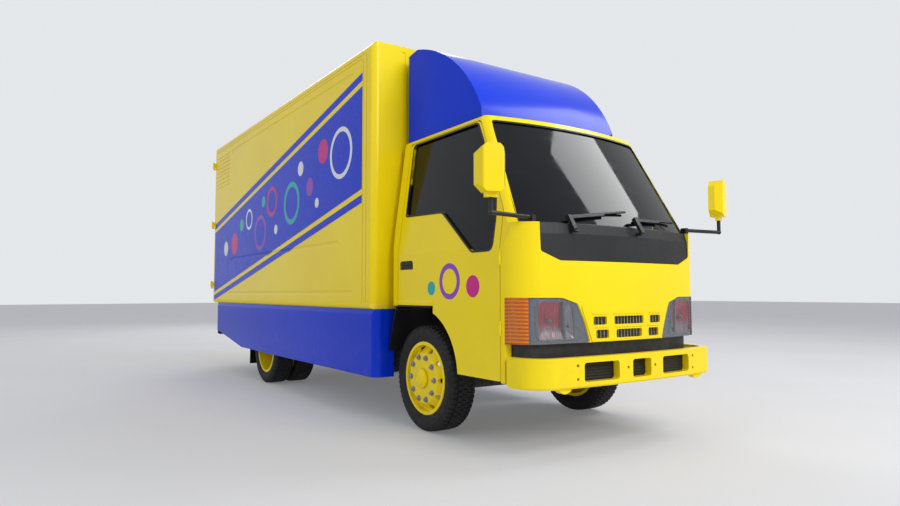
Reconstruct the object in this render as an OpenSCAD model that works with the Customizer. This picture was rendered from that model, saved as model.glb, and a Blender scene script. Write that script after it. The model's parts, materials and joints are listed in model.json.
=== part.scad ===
// Cab-over delivery truck with a box body, side skirts and a roof air deflector.
// Millimetres. Front faces -Y, +X is the truck's left, +Z is up, the ground is Z = 0.
// Every sub-part is drawn with the front axle at Y = 0 and is then moved so the origin is mid-length.

/* [Overall] */
// Distance between the axles
wheelbase = 3064; // [2600:4:4200]
// Front axle to the face of the front bumper
front_reach = 1240; // [1100:5:1400]
// Front axle to the face of the rear bumper
rear_reach = 5090; // [4700:5:6200]

/* [Wheels] */
// Tyre outside diameter
tyre_d = 740; // [680:2:800]
// Tyre section width
tyre_w = 210; // [180:2:240]
// Diameter of the rim lip
rim_lip_d = 511; // [420:1:540]
// Height of the rim lip over the bead seat
rim_lip_h = 15; // [10:1:25]
// Thickness of the rim's metal
rim_t = 9; // [6:1:14]
// Centre line to the middle of a front tyre
front_half_track = 723; // [680:1:780]
// Centre line to the outer face of the rear twin tyres
rear_outer_x = 933; // [900:1:960]
// Gap between the twin tyres
twin_gap = 30; // [20:1:60]
// Pitch circle of the wheel nuts
nut_pcd = 300; // [220:1:320]
// Hand holes in each wheel disc
hand_holes = 10; // [6:1:12]
// Hand hole diameter
hand_hole_d = 40; // [20:1:60]

/* [Chassis] */
// Centre line to the outer face of a frame rail
rail_x = 350; // [320:1:400]
// Rail height
rail_h = 180; // [140:5:240]
// Rail flange width
rail_flange = 65; // [50:1:90]
// Rail metal thickness
rail_t = 8; // [5:1:12]
// Underside of the rails
rail_z = 560; // [500:5:640]
// Front axle to the front end of the rails
rail_front = 1045; // [900:5:1080]
// Front axle to the rear end of the rails
rail_rear = 4960; // [4600:5:6000]
// Leaf spring centre line
spring_x = 310; // [280:1:320]
// Leaf width
leaf_w = 66; // [50:1:80]
// Leaf thickness
leaf_t = 10; // [6:1:14]

/* [Steering] */
// Centre line to the kingpin axis
kingpin_x = 648; // [600:1:690]
// Kingpin diameter
kingpin_d = 36; // [28:1:44]
// Length of the steering arms
arm_reach = 150; // [120:1:170]
// Track rod diameter
tie_rod_d = 28; // [20:1:36]
// Wheel spindle diameter
spindle_d = 60; // [45:1:70]

/* [Cab] */
// Centre line to the side of the cab at the doors
cab_hw = 845; // [800:1:900]
// Centre line to the side of the cab at the roof
cab_top_hw = 722; // [650:1:800]
// Front axle to the front face of the cab on the centre line
cab_front = 1140; // [1050:5:1180]
// Front axle to the back of the cab
cab_rear = 412; // [380:1:430]
// Top of the cab roof
cab_top = 2135; // [2050:5:2250]
// Underside of the cab behind the wheel arches
cab_base = 874; // [850:1:900]
// Lowest edge of the cab ahead of the wheel arches
cab_low = 438; // [400:1:520]
// Height where the sides begin to lean inward
belt_z = 1250; // [1150:5:1350]
// Height of the foot of the windscreen
screen_z = 1400; // [1350:5:1450]
// Rake of the windscreen from upright
screen_rake = 29.8; // [20:0.1:36]
// Radius of the bow of the cab front in plan
bow_r = 4900; // [3000:50:9000]
// Radius of the front corners in plan
corner_r = 200; // [120:5:220]
// Radius that rounds the screen pillars
pillar_r = 85; // [70:1:100]
// Radius of the roof's side edges
roof_edge_r = 24; // [10:1:40]
// Thickness of the roof
roof_t = 26; // [20:1:48]
// Thickness of doors and walls
wall = 48; // [36:1:60]
// Gap round a door
door_gap = 6; // [5:0.5:9]
// Front axle forward to the front edge of a door
door_front = 890; // [820:5:930]
// Front axle back to the rear edge of a door
door_rear = 318; // [280:1:330]
// Wheel arch radius
arch_r = 452; // [430:1:470]
// Window glass thickness
glass_t = 6; // [4:0.5:8]

/* [Front end] */
// Half width of the front bumper
bumper_hw = 854; // [830:1:900]
// Bottom of the front bumper
bumper_z = 420; // [380:1:430]
// Height of the front bumper
bumper_h = 175; // [160:1:230]
// Thickness of the bumper wall
bumper_t = 54; // [30:1:70]
// Radius of the bumper's corners in plan
bumper_r = 190; // [100:5:220]
// Radius of the bow of the bumper in plan
bumper_bow_r = 7000; // [4000:50:9000]
// Half width of the grille
grille_hw = 326; // [300:1:332]
// Height of a mirror head
mirror_h = 268; // [220:1:360]
// Width of a mirror head
mirror_w = 170; // [150:1:240]
// Angle that turns a mirror towards the driver
mirror_toe = 20; // [0:1:30]

/* [Box body] */
// Half width of the box
box_hw = 983; // [900:1:1100]
// Front axle back to the front of the box
box_front = 481; // [460:1:600]
// Front axle back to the rear of the box
box_rear = 5020; // [4500:5:6000]
// Underside of the box floor
box_z = 846; // [800:1:900]
// Top of the box
box_top = 2930; // [2400:5:3200]
// Thickness of the box walls and roof
box_t = 42; // [30:1:60]
// Thickness of the box floor
box_floor_t = 50; // [40:1:80]
// Radius of the box's front and roof edges
box_r = 55; // [20:1:80]
// Rear door thickness
rear_door_t = 40; // [30:1:50]
// Rear hinge axis outboard of the box side
hinge_out = 20; // [15:1:30]
// Rear hinge axis behind the rear doors
hinge_back = 30; // [20:1:40]
// How far the side skirts stand in from the box sides
skirt_set = 11; // [1:1:60]
// Bottom of the side skirts
skirt_z = 333; // [300:1:420]
// Thickness of a skirt
skirt_t = 28; // [15:1:40]

/* [Hidden] */
$fn = 64;
// Shift that brings the middle of the truck's length to the origin
shift_y = (front_reach - rear_reach) / 2;
// Running clearance round a pin or shaft
running = 0.05;
// Axle height and wheel stations
axle_z = tyre_d / 2;
rim_seat_r = rim_lip_d / 2 - rim_lip_h;
rim_in_r = rim_seat_r - rim_t;
bead_hw = tyre_w / 2 - 23;
twin_pitch = tyre_w + twin_gap;
rear_mid_x = rear_outer_x - tyre_w / 2 - twin_pitch / 2;
rail_top = rail_z + rail_h;
// Kingpin boss on the axle beam
boss_h = 80;
boss_r = 42;
lug_gap = 2;
lug_t = 24;
arm_drop = boss_h / 2 + lug_gap + lug_t / 2;
hub_r = 62;
stub_r = 45;
// Rear face of the gearbox, height of its output shaft and reach of the axle's pinion nose
gearbox_rear = 906;
shaft_z = 505;
pinion_reach = 190;
// Cab heights that several panels share
roof_split = cab_top - roof_t - 2;
side_lean = atan((cab_hw - cab_top_hw) / (cab_top - belt_z));
ledge_z = screen_z - 15;
floor_t = 40;
floor_top = cab_base + floor_t;
yellow = [0.98, 0.82, 0.05];
blue = [0.10, 0.25, 0.80];
black = [0.05, 0.05, 0.06];
steel = [0.25, 0.26, 0.28];

// Seam between a glass or lamp and the opening it fills
seam = 0.3;
// How far a corner arc stays inside its tangent lines
arc_ease = 0.03;

// Corner helpers for outlines given as [x, y, radius] rows, walked counter-clockwise
function at(p, i) = p[(i + len(p)) % len(p)];
function xy(v) = [v[0], v[1]];
function unit(v) = v / norm(v);
function back_dir(p, i) = unit(xy(at(p, i - 1)) - xy(p[i]));
function on_dir(p, i) = unit(xy(at(p, i + 1)) - xy(p[i]));
function half_angle(p, i) = acos(back_dir(p, i) * on_dir(p, i)) / 2;
function setback(p, i) = p[i][2] / tan(half_angle(p, i));
function arc_centre(p, i) = xy(p[i]) + unit(back_dir(p, i) + on_dir(p, i)) * p[i][2] / sin(half_angle(p, i));
function turn(p, i) = -back_dir(p, i)[0] * on_dir(p, i)[1] + back_dir(p, i)[1] * on_dir(p, i)[0];

// The same rows moved inward by the given depth
function inward(p, i) = turn(p, i) > 0 ? 1 : -1;
function inset(p, d) = [for (i = [0:len(p) - 1])
  let (v = xy(p[i]) + inward(p, i) * unit(back_dir(p, i) + on_dir(p, i)) * d / sin(half_angle(p, i)))
    [v[0], v[1], max(p[i][2] - inward(p, i) * d, 0)]];

// Flat outline whose corners are true arcs, filleted where they point inward
module outline(p) {
  difference() {
    union() {
      polygon([for (i = [0:len(p) - 1])
        each p[i][2] == 0 ? [xy(p[i])]
          : [xy(p[i]) + back_dir(p, i) * setback(p, i), xy(p[i]) + on_dir(p, i) * setback(p, i)]]);
      for (i = [0:len(p) - 1]) if (p[i][2] > 0 && turn(p, i) > 0)
        translate(arc_centre(p, i)) circle(r = p[i][2] - arc_ease);
    }
    for (i = [0:len(p) - 1]) if (p[i][2] > 0 && turn(p, i) < 0)
      translate(arc_centre(p, i)) circle(r = p[i][2] - arc_ease);
  }
}

// Solid from a side view outline in Y, Z, spanning X from x0 to x1
module side_slab(x0, x1) {
  translate([x0, 0, 0]) rotate([90, 0, 90]) linear_extrude(x1 - x0) children();
}

// Solid from a front view outline in X, Z, spanning Y from y0 to y1
module front_slab(y0, y1) {
  translate([0, y1, 0]) rotate([90, 0, 0]) linear_extrude(y1 - y0) children();
}

// Box given by its low and high corners
module block(low, high) {
  translate(low) cube(high - low);
}

// Round bar along X, Y or Z
module bar_x(r, x0, x1) { translate([x0, 0, 0]) rotate([0, 90, 0]) cylinder(r = r, h = x1 - x0); }
module bar_y(r, y0, y1) { translate([0, y0, 0]) rotate([-90, 0, 0]) cylinder(r = r, h = y1 - y0); }

// The same thing on both sides of the truck
module both_sides() {
  children();
  mirror([1, 0, 0]) children();
}

// Frame
module frame_rails() {
  color(steel) both_sides() {
    front_slab(-rail_front, rail_rear)
      difference() {
        translate([rail_x - rail_flange, rail_z]) square([rail_flange, rail_h]);
        translate([rail_x - rail_flange - 1, rail_z + rail_t]) square([rail_flange - rail_t + 1, rail_h - 2 * rail_t]);
      }
    block([rail_x - rail_flange + 5, box_front + 60, rail_top], [rail_x, rail_rear, box_z]);
    // Hangers that hold the spring eyes
    for (y = [-spring_span(0) / 2, spring_span(0) / 2, wheelbase - spring_span(1) / 2, wheelbase + spring_span(1) / 2])
      translate([spring_x, y, 0]) {
        for (s = [-1, 1]) translate([s * (leaf_w / 2 + 4), 0, 0])
          block([-4, -32, spring_eye_z(y > wheelbase / 2 ? 1 : 0) - 26], [4, 32, rail_z]);
        block([-leaf_w / 2 - 8, -32, rail_z - 10], [leaf_w / 2 + 8, 32, rail_z]);
      }
  }
}

// Cross members: columns are station, half length along Y, height
CROSS = [[-1000, 30, 120], [1180, 35, 130], [2080, 35, 130], [2680, 35, 130], [3450, 35, 130], [4240, 35, 130]];
HITCH_X = 160;
HITCH_Z = 100;
hitch_hole_r = 8.5;
module frame_crossmembers() {
  inner = rail_x - rail_t;
  color(steel) {
    for (c = CROSS)
      block([-inner, c[0] - c[1], rail_z + rail_t], [inner, c[0] + c[1], rail_z + rail_t + c[2]]);
    difference() {
      block([-inner, rail_rear - 24, rail_z + rail_t], [inner, rail_rear, rail_top - rail_t]);
      for (x = [-HITCH_X / 2, HITCH_X / 2], z = [-HITCH_Z / 2, HITCH_Z / 2])
        translate([x, 0, rail_z + rail_h / 2 + z]) bar_y(hitch_hole_r, rail_rear - 40, rail_rear + 10);
    }
  }
}

// Springs: columns are axle station, span between eyes, rise of the eyes, height of the pad, leaves
SPRINGS = [[0, 1060, 62, 402, 4], [wheelbase, 1240, 34, 440, 5]];
function spring_span(i) = SPRINGS[i][1];
function spring_r(i) = (pow(SPRINGS[i][1] / 2, 2) + pow(SPRINGS[i][2], 2)) / (2 * SPRINGS[i][2]);
function spring_eye_z(i) = SPRINGS[i][3] + (SPRINGS[i][4] - 0.5) * leaf_t + SPRINGS[i][2];
module leaf_springs() {
  color(steel) both_sides() for (i = [0, 1]) {
    s = SPRINGS[i];
    translate([0, s[0], 0]) side_slab(spring_x - leaf_w / 2, spring_x + leaf_w / 2) {
      difference() {
        union() {
          for (k = [0:s[4] - 1]) intersection() {
            difference() {
              translate([0, s[3] + spring_r(i)]) circle(r = spring_r(i) - k * leaf_t, $fn = 200);
              translate([0, s[3] + spring_r(i)]) circle(r = spring_r(i) - (k + 1) * leaf_t, $fn = 200);
            }
            translate([-s[1] / 2 * (k + 1) / s[4], s[3] - 5]) square([s[1] * (k + 1) / s[4], 200]);
          }
          for (e = [-1, 1]) translate([e * s[1] / 2, spring_eye_z(i)]) circle(r = 22);
        }
        for (e = [-1, 1]) translate([e * s[1] / 2, spring_eye_z(i)]) circle(r = 10);
      }
    }
  }
}

// Dropped beam with kingpin bosses at its ends
module front_axle() {
  drop = 62;
  beam_h = 72;
  pad = SPRINGS[0][3];
  top = axle_z + beam_h / 2;
  color(steel) difference() {
    union() {
      front_slab(-36, 36) outline([
        [-kingpin_x, top, 0], [-kingpin_x, top - beam_h, 0], [-470, top - beam_h, 60], [-400, top - beam_h - drop, 60],
        [400, top - beam_h - drop, 60], [470, top - beam_h, 60], [kingpin_x, top - beam_h, 0], [kingpin_x, top, 0],
        [470, top, 60], [400, top - drop, 60], [-400, top - drop, 60], [-470, top, 60]]);
      both_sides() {
        translate([kingpin_x, 0, axle_z - boss_h / 2]) cylinder(r = boss_r, h = boss_h);
        block([spring_x - leaf_w / 2 - 4, -60, top - drop - 10], [spring_x + leaf_w / 2 + 4, 60, pad]);
      }
    }
    both_sides() translate([kingpin_x, 0, 0]) cylinder(r = kingpin_d / 2 + running, h = 3 * axle_z);
  }
}

// Banjo housing with the stub shafts that carry the twin wheels
module rear_axle() {
  pad = SPRINGS[1][3];
  tube_r = 58;
  color(steel) translate([0, wheelbase, axle_z]) {
    bar_x(tube_r, -rear_mid_x + 110, rear_mid_x - 110);
    bar_x(stub_r, -rear_mid_x - 60, rear_mid_x + 60);
    rotate([90, 0, 0]) rotate_extrude() outline([
      [0, -120, 0], [70, -120, 40], [150, -60, 40], [150, 50, 30], [90, 90, 20], [70, pinion_reach, 8],
      [0, pinion_reach, 0]]);
    both_sides() block([spring_x - leaf_w / 2 - 4, -62, 0], [spring_x + leaf_w / 2 + 4, 62, pad - axle_z]);
  }
}

// Propeller shaft with its end yokes
module drive_shaft() {
  flange_r = 58;
  flange_t = 24;
  y0 = gearbox_rear + flange_t / 2;
  y1 = wheelbase - pinion_reach - flange_t / 2;
  drop = shaft_z - axle_z;
  color(steel) {
    translate([0, gearbox_rear, shaft_z]) bar_y(flange_r, 0, flange_t);
    translate([0, wheelbase - pinion_reach, axle_z]) bar_y(flange_r, -flange_t, 0);
    translate([0, y0, shaft_z]) rotate([-90 - atan2(drop, y1 - y0), 0, 0]) cylinder(r = 38, h = norm([y1 - y0, drop]));
  }
}

// Engine and gearbox as one mass between the rails
module engine_block() {
  color(steel) {
    side_slab(-240, 240) outline([[-560, 500, 40], [-420, 462, 30], [420, 462, 30], [430, 850, 30], [-540, 850, 60]]);
    translate([0, 0, 545]) bar_y(125, 400, 760);
    translate([0, 0, shaft_z]) bar_y(70, 700, gearbox_rear);
    both_sides() block([230, -120, 580], [rail_x - rail_t, -40, 640]);
  }
}

// Fuel tank slung from the left rail
module fuel_tank() {
  tank = [wheelbase - 2064, wheelbase - 1164];
  color(steel) {
    front_slab(tank[0], tank[1]) outline([[430, 420, 50], [840, 420, 50], [840, 760, 50], [430, 760, 50]]);
    for (y = [tank[0] + 150, tank[1] - 180]) {
      front_slab(y, y + 60) difference() {
        outline([[424, 414, 56], [846, 414, 56], [846, 766, 56], [424, 766, 56]]);
        outline([[431, 421, 49], [839, 421, 49], [839, 759, 49], [431, 759, 49]]);
      }
      block([rail_x, y, rail_z + 40], [426, y + 60, rail_z + 100]);
    }
  }
}

// Silencer and tail pipe on the right rail
module exhaust() {
  pipe_x = 480;
  pipe_r = 32;
  pipe = [780, wheelbase - 664];
  silencer = [wheelbase - 1764, wheelbase - 964];
  color(steel) {
    translate([-pipe_x, 0, rail_z + 40]) {
      bar_y(105, silencer[0], silencer[1]);
      bar_y(pipe_r, pipe[0], pipe[1]);
      for (y = [silencer[0] + 100, silencer[1] - 140]) block([75, y, -20], [pipe_x - rail_x, y + 40, 20]);
      for (y = pipe) translate([0, y, 0]) sphere(r = pipe_r);
      translate([0, pipe[1], 0]) rotate([0, -90, 0]) cylinder(r = pipe_r, h = 430);
      translate([0, pipe[0], 0]) rotate([0, 90, 0]) cylinder(r = pipe_r, h = 130);
    }
  }
}

// Underrun bar and its brackets
module rear_bumper() {
  bar = [420, 530];
  color(steel) {
    front_slab(rear_reach - 50, rear_reach) outline([
      [-900, bar[0], 20], [900, bar[0], 20], [900, bar[1], 20], [-900, bar[1], 20]]);
    both_sides() side_slab(rail_x, rail_x + 14) outline([
      [4700, rail_z + 20, 0], [rear_reach - 120, bar[0] + 20, 40], [rear_reach - 50, bar[0] + 20, 0],
      [rear_reach - 50, bar[1] - 10, 0], [rail_rear, rail_top - 20, 30], [4700, rail_top - 20, 0]]);
  }
}

// Lamp clusters standing on the underrun bar
module tail_lamps() {
  color([0.7, 0.08, 0.06]) both_sides()
    front_slab(rear_reach - 48, rear_reach - 4) outline([
      [560, 530, 6], [860, 530, 6], [860, 610, 10], [560, 610, 10]]);
}

// Steering knuckle for the left side: kingpin, lugs, spindle and arm
module knuckle_left() {
  pin_r = kingpin_d / 2;
  color(steel) translate([kingpin_x, 0, axle_z]) {
    translate([0, 0, -arm_drop - lug_t / 2]) cylinder(r = pin_r, h = 2 * arm_drop + lug_t);
    for (s = [-1, 1]) translate([0, 0, s * arm_drop - lug_t / 2]) {
      cylinder(r = 36, h = lug_t);
      block([0, -34, 0], [72, 34, lug_t]);
    }
    block([boss_r + 6, -34, -arm_drop - lug_t / 2], [72, 34, arm_drop + lug_t / 2]);
    bar_x(spindle_d / 2, 60, front_half_track - kingpin_x + 70);
    // Arm to the track rod
    translate([0, 0, -arm_drop - lug_t / 2]) difference() {
      union() {
        block([-18, 20, 0], [18, arm_reach, lug_t]);
        translate([0, arm_reach, 0]) cylinder(r = 24, h = lug_t);
      }
      translate([0, arm_reach, -1]) cylinder(r = 9 + running, h = lug_t + 2);
    }
  }
}
module knuckle_right() { mirror([1, 0, 0]) knuckle_left(); }

// Track rod below the arms with an upright pin at each end
module tie_rod() {
  z = axle_z - arm_drop - lug_t / 2;
  color(steel) translate([0, arm_reach, z]) {
    translate([0, 0, -18]) bar_x(tie_rod_d / 2, -kingpin_x, kingpin_x);
    both_sides() translate([kingpin_x, 0, -36]) {
      cylinder(r = 22, h = 34);
      cylinder(r = 9, h = 36 + lug_t + 6);
    }
  }
}

// Tyre section in radius and width, seated on the rim
module tyre_section() {
  r = tyre_d / 2;
  w = tyre_w / 2;
  outline([[rim_seat_r, -bead_hw, 0], [rim_seat_r + rim_lip_h + 2, -bead_hw, 3], [rim_seat_r + 62, -w, 45],
    [r, -w + 20, 26], [r, w - 20, 26], [rim_seat_r + 62, w, 45], [rim_seat_r + rim_lip_h + 2, bead_hw, 3],
    [rim_seat_r, bead_hw, 0]]);
}
module tyre() { color(black) rotate([0, 90, 0]) rotate_extrude() tyre_section(); }

// Rim well with its two lips, in radius and width
module rim_well() {
  lip = 9;
  difference() {
    outline([[rim_in_r, -bead_hw - lip, 0], [rim_lip_d / 2, -bead_hw - lip, 4], [rim_lip_d / 2, -bead_hw, 0],
      [rim_seat_r, -bead_hw, 0], [rim_seat_r, bead_hw, 0], [rim_lip_d / 2, bead_hw, 0],
      [rim_lip_d / 2, bead_hw + lip, 4], [rim_in_r, bead_hw + lip, 0]]);
  }
}

// Front wheel disc, convex outward, with the hub behind it
module front_rim_left() {
  disc_x = 104;
  disc_t = 12;
  color(yellow) translate([front_half_track, 0, axle_z]) rotate([0, 90, 0]) difference() {
    union() {
      rotate_extrude() rim_well();
      rotate_extrude() outline([[0, disc_x - disc_t, 0], [nut_pcd / 2 + 14, disc_x - disc_t, 8],
        [rim_in_r - 20, 36, 12], [rim_in_r + 3, 36, 0], [rim_in_r + 3, 50, 0],
        [rim_in_r - 14, 50, 12], [nut_pcd / 2 + 22, disc_x, 14], [0, disc_x, 0]]);
      translate([0, 0, 2]) cylinder(r = hub_r, h = disc_x + 14);
    }
    translate([0, 0, -10]) cylinder(r = spindle_d / 2 + running, h = 88);
    for (k = [0:hand_holes - 1]) rotate([0, 0, (k + 0.5) * 360 / hand_holes])
      translate([rim_in_r - 32, 0, 20]) cylinder(d = hand_hole_d, h = 90);
  }
}
module front_rim_right() { mirror([1, 0, 0]) front_rim_left(); }
module front_tyre_left() { translate([front_half_track, 0, axle_z]) tyre(); }
module front_tyre_right() { mirror([1, 0, 0]) front_tyre_left(); }

// Twin rear wheels: both dished discs stand on one hub flange
module rear_rims_left() {
  disc_t = 12;
  color(yellow) translate([rear_mid_x, wheelbase, axle_z]) rotate([0, 90, 0]) difference() {
    union() {
      for (s = [-1, 1]) translate([0, 0, s * twin_pitch / 2]) rotate_extrude() rim_well();
      for (s = [0, 1]) mirror([0, 0, s]) rotate_extrude() polygon([[0, 0], [nut_pcd / 2 + 24, 0],
        [rim_in_r - 18, 42], [rim_in_r + 3, 42], [rim_in_r + 3, 56], [rim_in_r - 26, 56],
        [nut_pcd / 2 + 16, disc_t], [0, disc_t]]);
      translate([0, 0, -90]) cylinder(r = 95, h = 95);
      cylinder(r = 78, h = 110);
    }
    translate([0, 0, -100]) cylinder(r = stub_r + running, h = 170);
    for (k = [0:hand_holes - 1]) rotate([0, 0, (k + 0.5) * 360 / hand_holes])
      translate([rim_in_r - 28, 0, -90]) cylinder(d = hand_hole_d, h = 180);
  }
}
module rear_rims_right() { mirror([1, 0, 0]) rear_rims_left(); }
module rear_tyres_left() {
  for (s = [-1, 1]) translate([rear_mid_x + s * twin_pitch / 2, wheelbase, axle_z]) tyre();
}
module rear_tyres_right() { mirror([1, 0, 0]) rear_tyres_left(); }

// Plan with a bowed front that runs into straight sides on corner arcs, set in by the given depth
module bowed_plan(hw, front, rear, corner, heel, bow, in) {
  touch = 0.6 * hw;
  sag = touch * touch / (2 * bow);
  shoulder = hw * touch / bow - front - sag;
  intersection() {
    outline([[-hw + in, rear, heel], [-hw + in, shoulder + in, corner - in], [0, in - front - sag, 0],
      [hw - in, shoulder + in, corner - in], [hw - in, rear, heel]]);
    translate([0, bow - front]) circle(r = bow - in, $fn = 360);
  }
}

// Cab form: the plan, the tumblehome, the roof and the raked screen, all set in by the given depth
module cab_plan(in) {
  bowed_plan(cab_hw, cab_front, cab_rear - in, corner_r, 30, bow_r, in);
}
module cab_front_view(in) {
  lean = tan(side_lean);
  low = 300;
  wide = cab_hw + lean * (belt_z - low);
  top = cab_top - min(in, roof_t);
  narrow = cab_top_hw + lean * (cab_top - top);
  k = in / cos(side_lean);
  outline([[-wide + k, low, 0], [wide - k, low, 0],
    [narrow - k, top, max(roof_edge_r - in, 0)], [-narrow + k, top, max(roof_edge_r - in, 0)]]);
}
// Raked block whose bowed front face is the windscreen
screen_bow_r = 3100;
screen_set = 40;
module screen_block(in) {
  translate([0, screen_set - cab_front, screen_z]) rotate([-screen_rake, 0, 0])
    translate([0, 0, -1500]) linear_extrude(3000) intersection() {
      translate([-1000, -100]) square([2000, 2600]);
      translate([0, screen_bow_r]) circle(r = screen_bow_r - in, $fn = 360);
    }
}
// Rounding of the pillar between the screen and the left side, from its foot and head on the bowed screen
function screen_sag(x) = (screen_bow_r - sqrt(pow(screen_bow_r, 2) - x * x)) / cos(screen_rake);
pillar_x = cab_hw - tan(side_lean) * (screen_z - belt_z);
pillar_run = screen_sag(cab_top_hw) - screen_sag(pillar_x) + tan(screen_rake) * (cab_top - screen_z);
pillar_rake = asin(pillar_run / norm([pillar_x - cab_top_hw, pillar_run, cab_top - screen_z]));
pillar_bow = 17;
pillar_ease = 5;
module pillar_block(in) {
  corner_y = in * (1 - sin(pillar_bow)) / cos(pillar_bow) - 1;
  far = 2600;
  translate([pillar_x, screen_set - cab_front + screen_sag(pillar_x), screen_z])
    rotate([0, -side_lean, 0]) rotate([-pillar_rake, 0, 0]) translate([0, 0, -far]) linear_extrude(2 * far)
      outline([[pillar_ease - in, corner_y, pillar_r - in], [pillar_ease - in, 2 * far, 0], [-far, 2 * far, 0],
        [-far, corner_y - far * tan(pillar_bow), 0]]);
}
module cab_form(in) {
  intersection() {
    translate([0, 0, cab_low - max(in, 0)]) linear_extrude(cab_top) cab_plan(in);
    front_slab(-2000, 1000) cab_front_view(in);
    screen_block(in);
    pillar_block(in);
    mirror([1, 0, 0]) pillar_block(in);
  }
}
module cab_shell(out = 0, in = wall) {
  difference() {
    cab_form(out);
    cab_form(in);
  }
}

// Upright form of the cab below the ledge at the foot of the screen
module front_form(in) {
  intersection() {
    translate([0, 0, cab_low - max(in, 0)]) linear_extrude(ledge_z - cab_low - in + max(in, 0)) cab_plan(in);
    front_slab(-2000, 1000) cab_front_view(in);
  }
}
module front_skin(out, in) {
  difference() {
    translate([0, 0, cab_low]) linear_extrude(ledge_z - cab_low) cab_plan(out);
    translate([0, 0, cab_low - 50]) linear_extrude(ledge_z - cab_low + 100) cab_plan(in);
  }
}

// Height where a door's front edge begins to lean back, and its slope above
door_bend_z = 1470;
door_lean = 0.53;
// Side view of a door opening, grown or shrunk by the given gap
module door_outline(g) {
  top = g > 0 ? roof_split + 4 : roof_split - door_gap;
  head = -door_front + door_lean * (top - door_bend_z);
  outline([[-door_front - g, cab_low + 8 - g, 20], [door_rear + g, cab_low + 8 - g, 0], [door_rear + g, top, 40],
    [head - g, top, 60], [-door_front - g, door_bend_z, 60]]);
}
module arch_cut(r) {
  translate([0, 0, axle_z + 36]) rotate([90, 0, 90]) translate([0, 0, -1500]) cylinder(r = r, h = 3000);
  block([-1500, -158, 0], [1500, 2 * r, cab_base + door_gap]);
}
// Side view of the door window, deeper at the front
WINDOW = [[-814, 1234, 38], [-611, 1234, 50], [-221, 1528, 100], [266, 1545, 14], [274, 2084, 24], [-528, 2084, 45],
  [-607, 1950, 0], [-804, 1550, 70], [-819, 1430, 0]];
// Door hinges: heights of the barrels
CAB_HINGES = [760, 1180];
cab_hinge = [cab_hw + 2, -door_front - door_gap / 2];
cab_pin_r = 6;
barrel_r = 10;
barrel_h = 60;
hinge_lug_h = 12;
hinge_play = 2.5;
// Fold along the bottom of the cab's side
sill_top = 921;
module sill_fold(y0, y1) {
  front_slab(y0, y1) polygon([[cab_hw - 6, cab_base + door_gap], [cab_hw + 8, cab_base + door_gap],
    [cab_hw + 8, sill_top - 21], [cab_hw - 1, sill_top]]);
}
// Side view of the recess for the door handle
handle_depth = 22;
HANDLE = [[102, 1138, 10], [292, 1138, 10], [288, 1202, 22], [112, 1202, 22]];
module door_left() {
  color(yellow) difference() {
    union() {
      difference() {
        intersection() {
          cab_shell();
          side_slab(400, 1100) door_outline(0);
        }
        side_slab(400, 1100) outline(WINDOW);
        arch_cut(arch_r);
        side_slab(cab_hw - handle_depth, cab_hw + 50) outline(HANDLE);
        for (z = CAB_HINGES, s = [-1, 1]) translate([cab_hinge[0], cab_hinge[1], z + s * (barrel_h + hinge_lug_h + 4) / 2])
          cylinder(r = barrel_r + hinge_play, h = hinge_lug_h + 4, center = true);
      }
      sill_fold(-150, door_rear);
      for (z = CAB_HINGES) translate([cab_hinge[0], cab_hinge[1], z]) cylinder(r = barrel_r, h = barrel_h, center = true);
    }
    for (z = CAB_HINGES) translate([cab_hinge[0], cab_hinge[1], z])
      cylinder(r = cab_pin_r + running, h = barrel_h + 2, center = true);
  }
}
module door_right() { mirror([1, 0, 0]) door_left(); }
module door_glass_left() {
  color(black) intersection() {
    cab_shell(16, 16 + glass_t);
    side_slab(400, 1100) outline(inset(WINDOW, seam));
  }
}
module door_glass_right() { mirror([1, 0, 0]) door_glass_left(); }

// Grip in the door's recess
module door_handle_left() {
  color(black) {
    side_slab(cab_hw - handle_depth, cab_hw - 10) outline(inset(HANDLE, seam));
    side_slab(cab_hw - 11, cab_hw + 4) outline([[112, 1172, 6], [284, 1172, 6], [280, 1192, 8], [118, 1192, 8]]);
  }
}
module door_handle_right() { mirror([1, 0, 0]) door_handle_left(); }

module door_holes() {
  both_sides() side_slab(400, 1100) door_outline(door_gap);
}

// Bottom of the valance
valance_z = 560;
// Floor with the step wells ahead of the wheels and the four cab mounts
module cab_floor() {
  clear = cab_hw - wall - door_gap;
  well = [560, 480];
  color(steel) {
    intersection() {
      block([-clear, -2000, cab_base], [clear, 2000, floor_top]);
      cab_form(wall + 0.3);
    }
    both_sides() {
      block([well[0], -door_front, cab_low + 12], [well[0] + 16, -well[1], cab_base]);
      block([well[0], -door_front, cab_low + 12], [clear, -well[1], cab_low + 28]);
      block([well[0], -well[1] - 16, cab_low + 12], [clear, -well[1], cab_base]);
      block([well[0], -door_front, cab_low + 12], [clear, -door_front + 16, cab_base]);
      for (y = [-820, 310]) block([spring_x - 25, y, rail_top], [spring_x + 25, y + 60, cab_base]);
    }
    // Dark valance in the gap over the bumper
    intersection() {
      front_skin(wall + 4, wall + 16);
      block([-1000, -2000, valance_z], [1000, -door_front + 8, lamp_z[0] - 4]);
    }
  }
}

module cab_back_panel() {
  color(yellow) {
    intersection() {
      cab_shell();
      block([-1000, door_rear + door_gap, cab_base], [1000, 1000, roof_split]);
    }
    both_sides() sill_fold(door_rear + door_gap, cab_rear - 40);
  }
}

module cab_roof() {
  color(yellow) intersection() {
    cab_shell();
    block([-1000, -1000, roof_split], [1000, 1000, cab_top]);
  }
}

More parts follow.
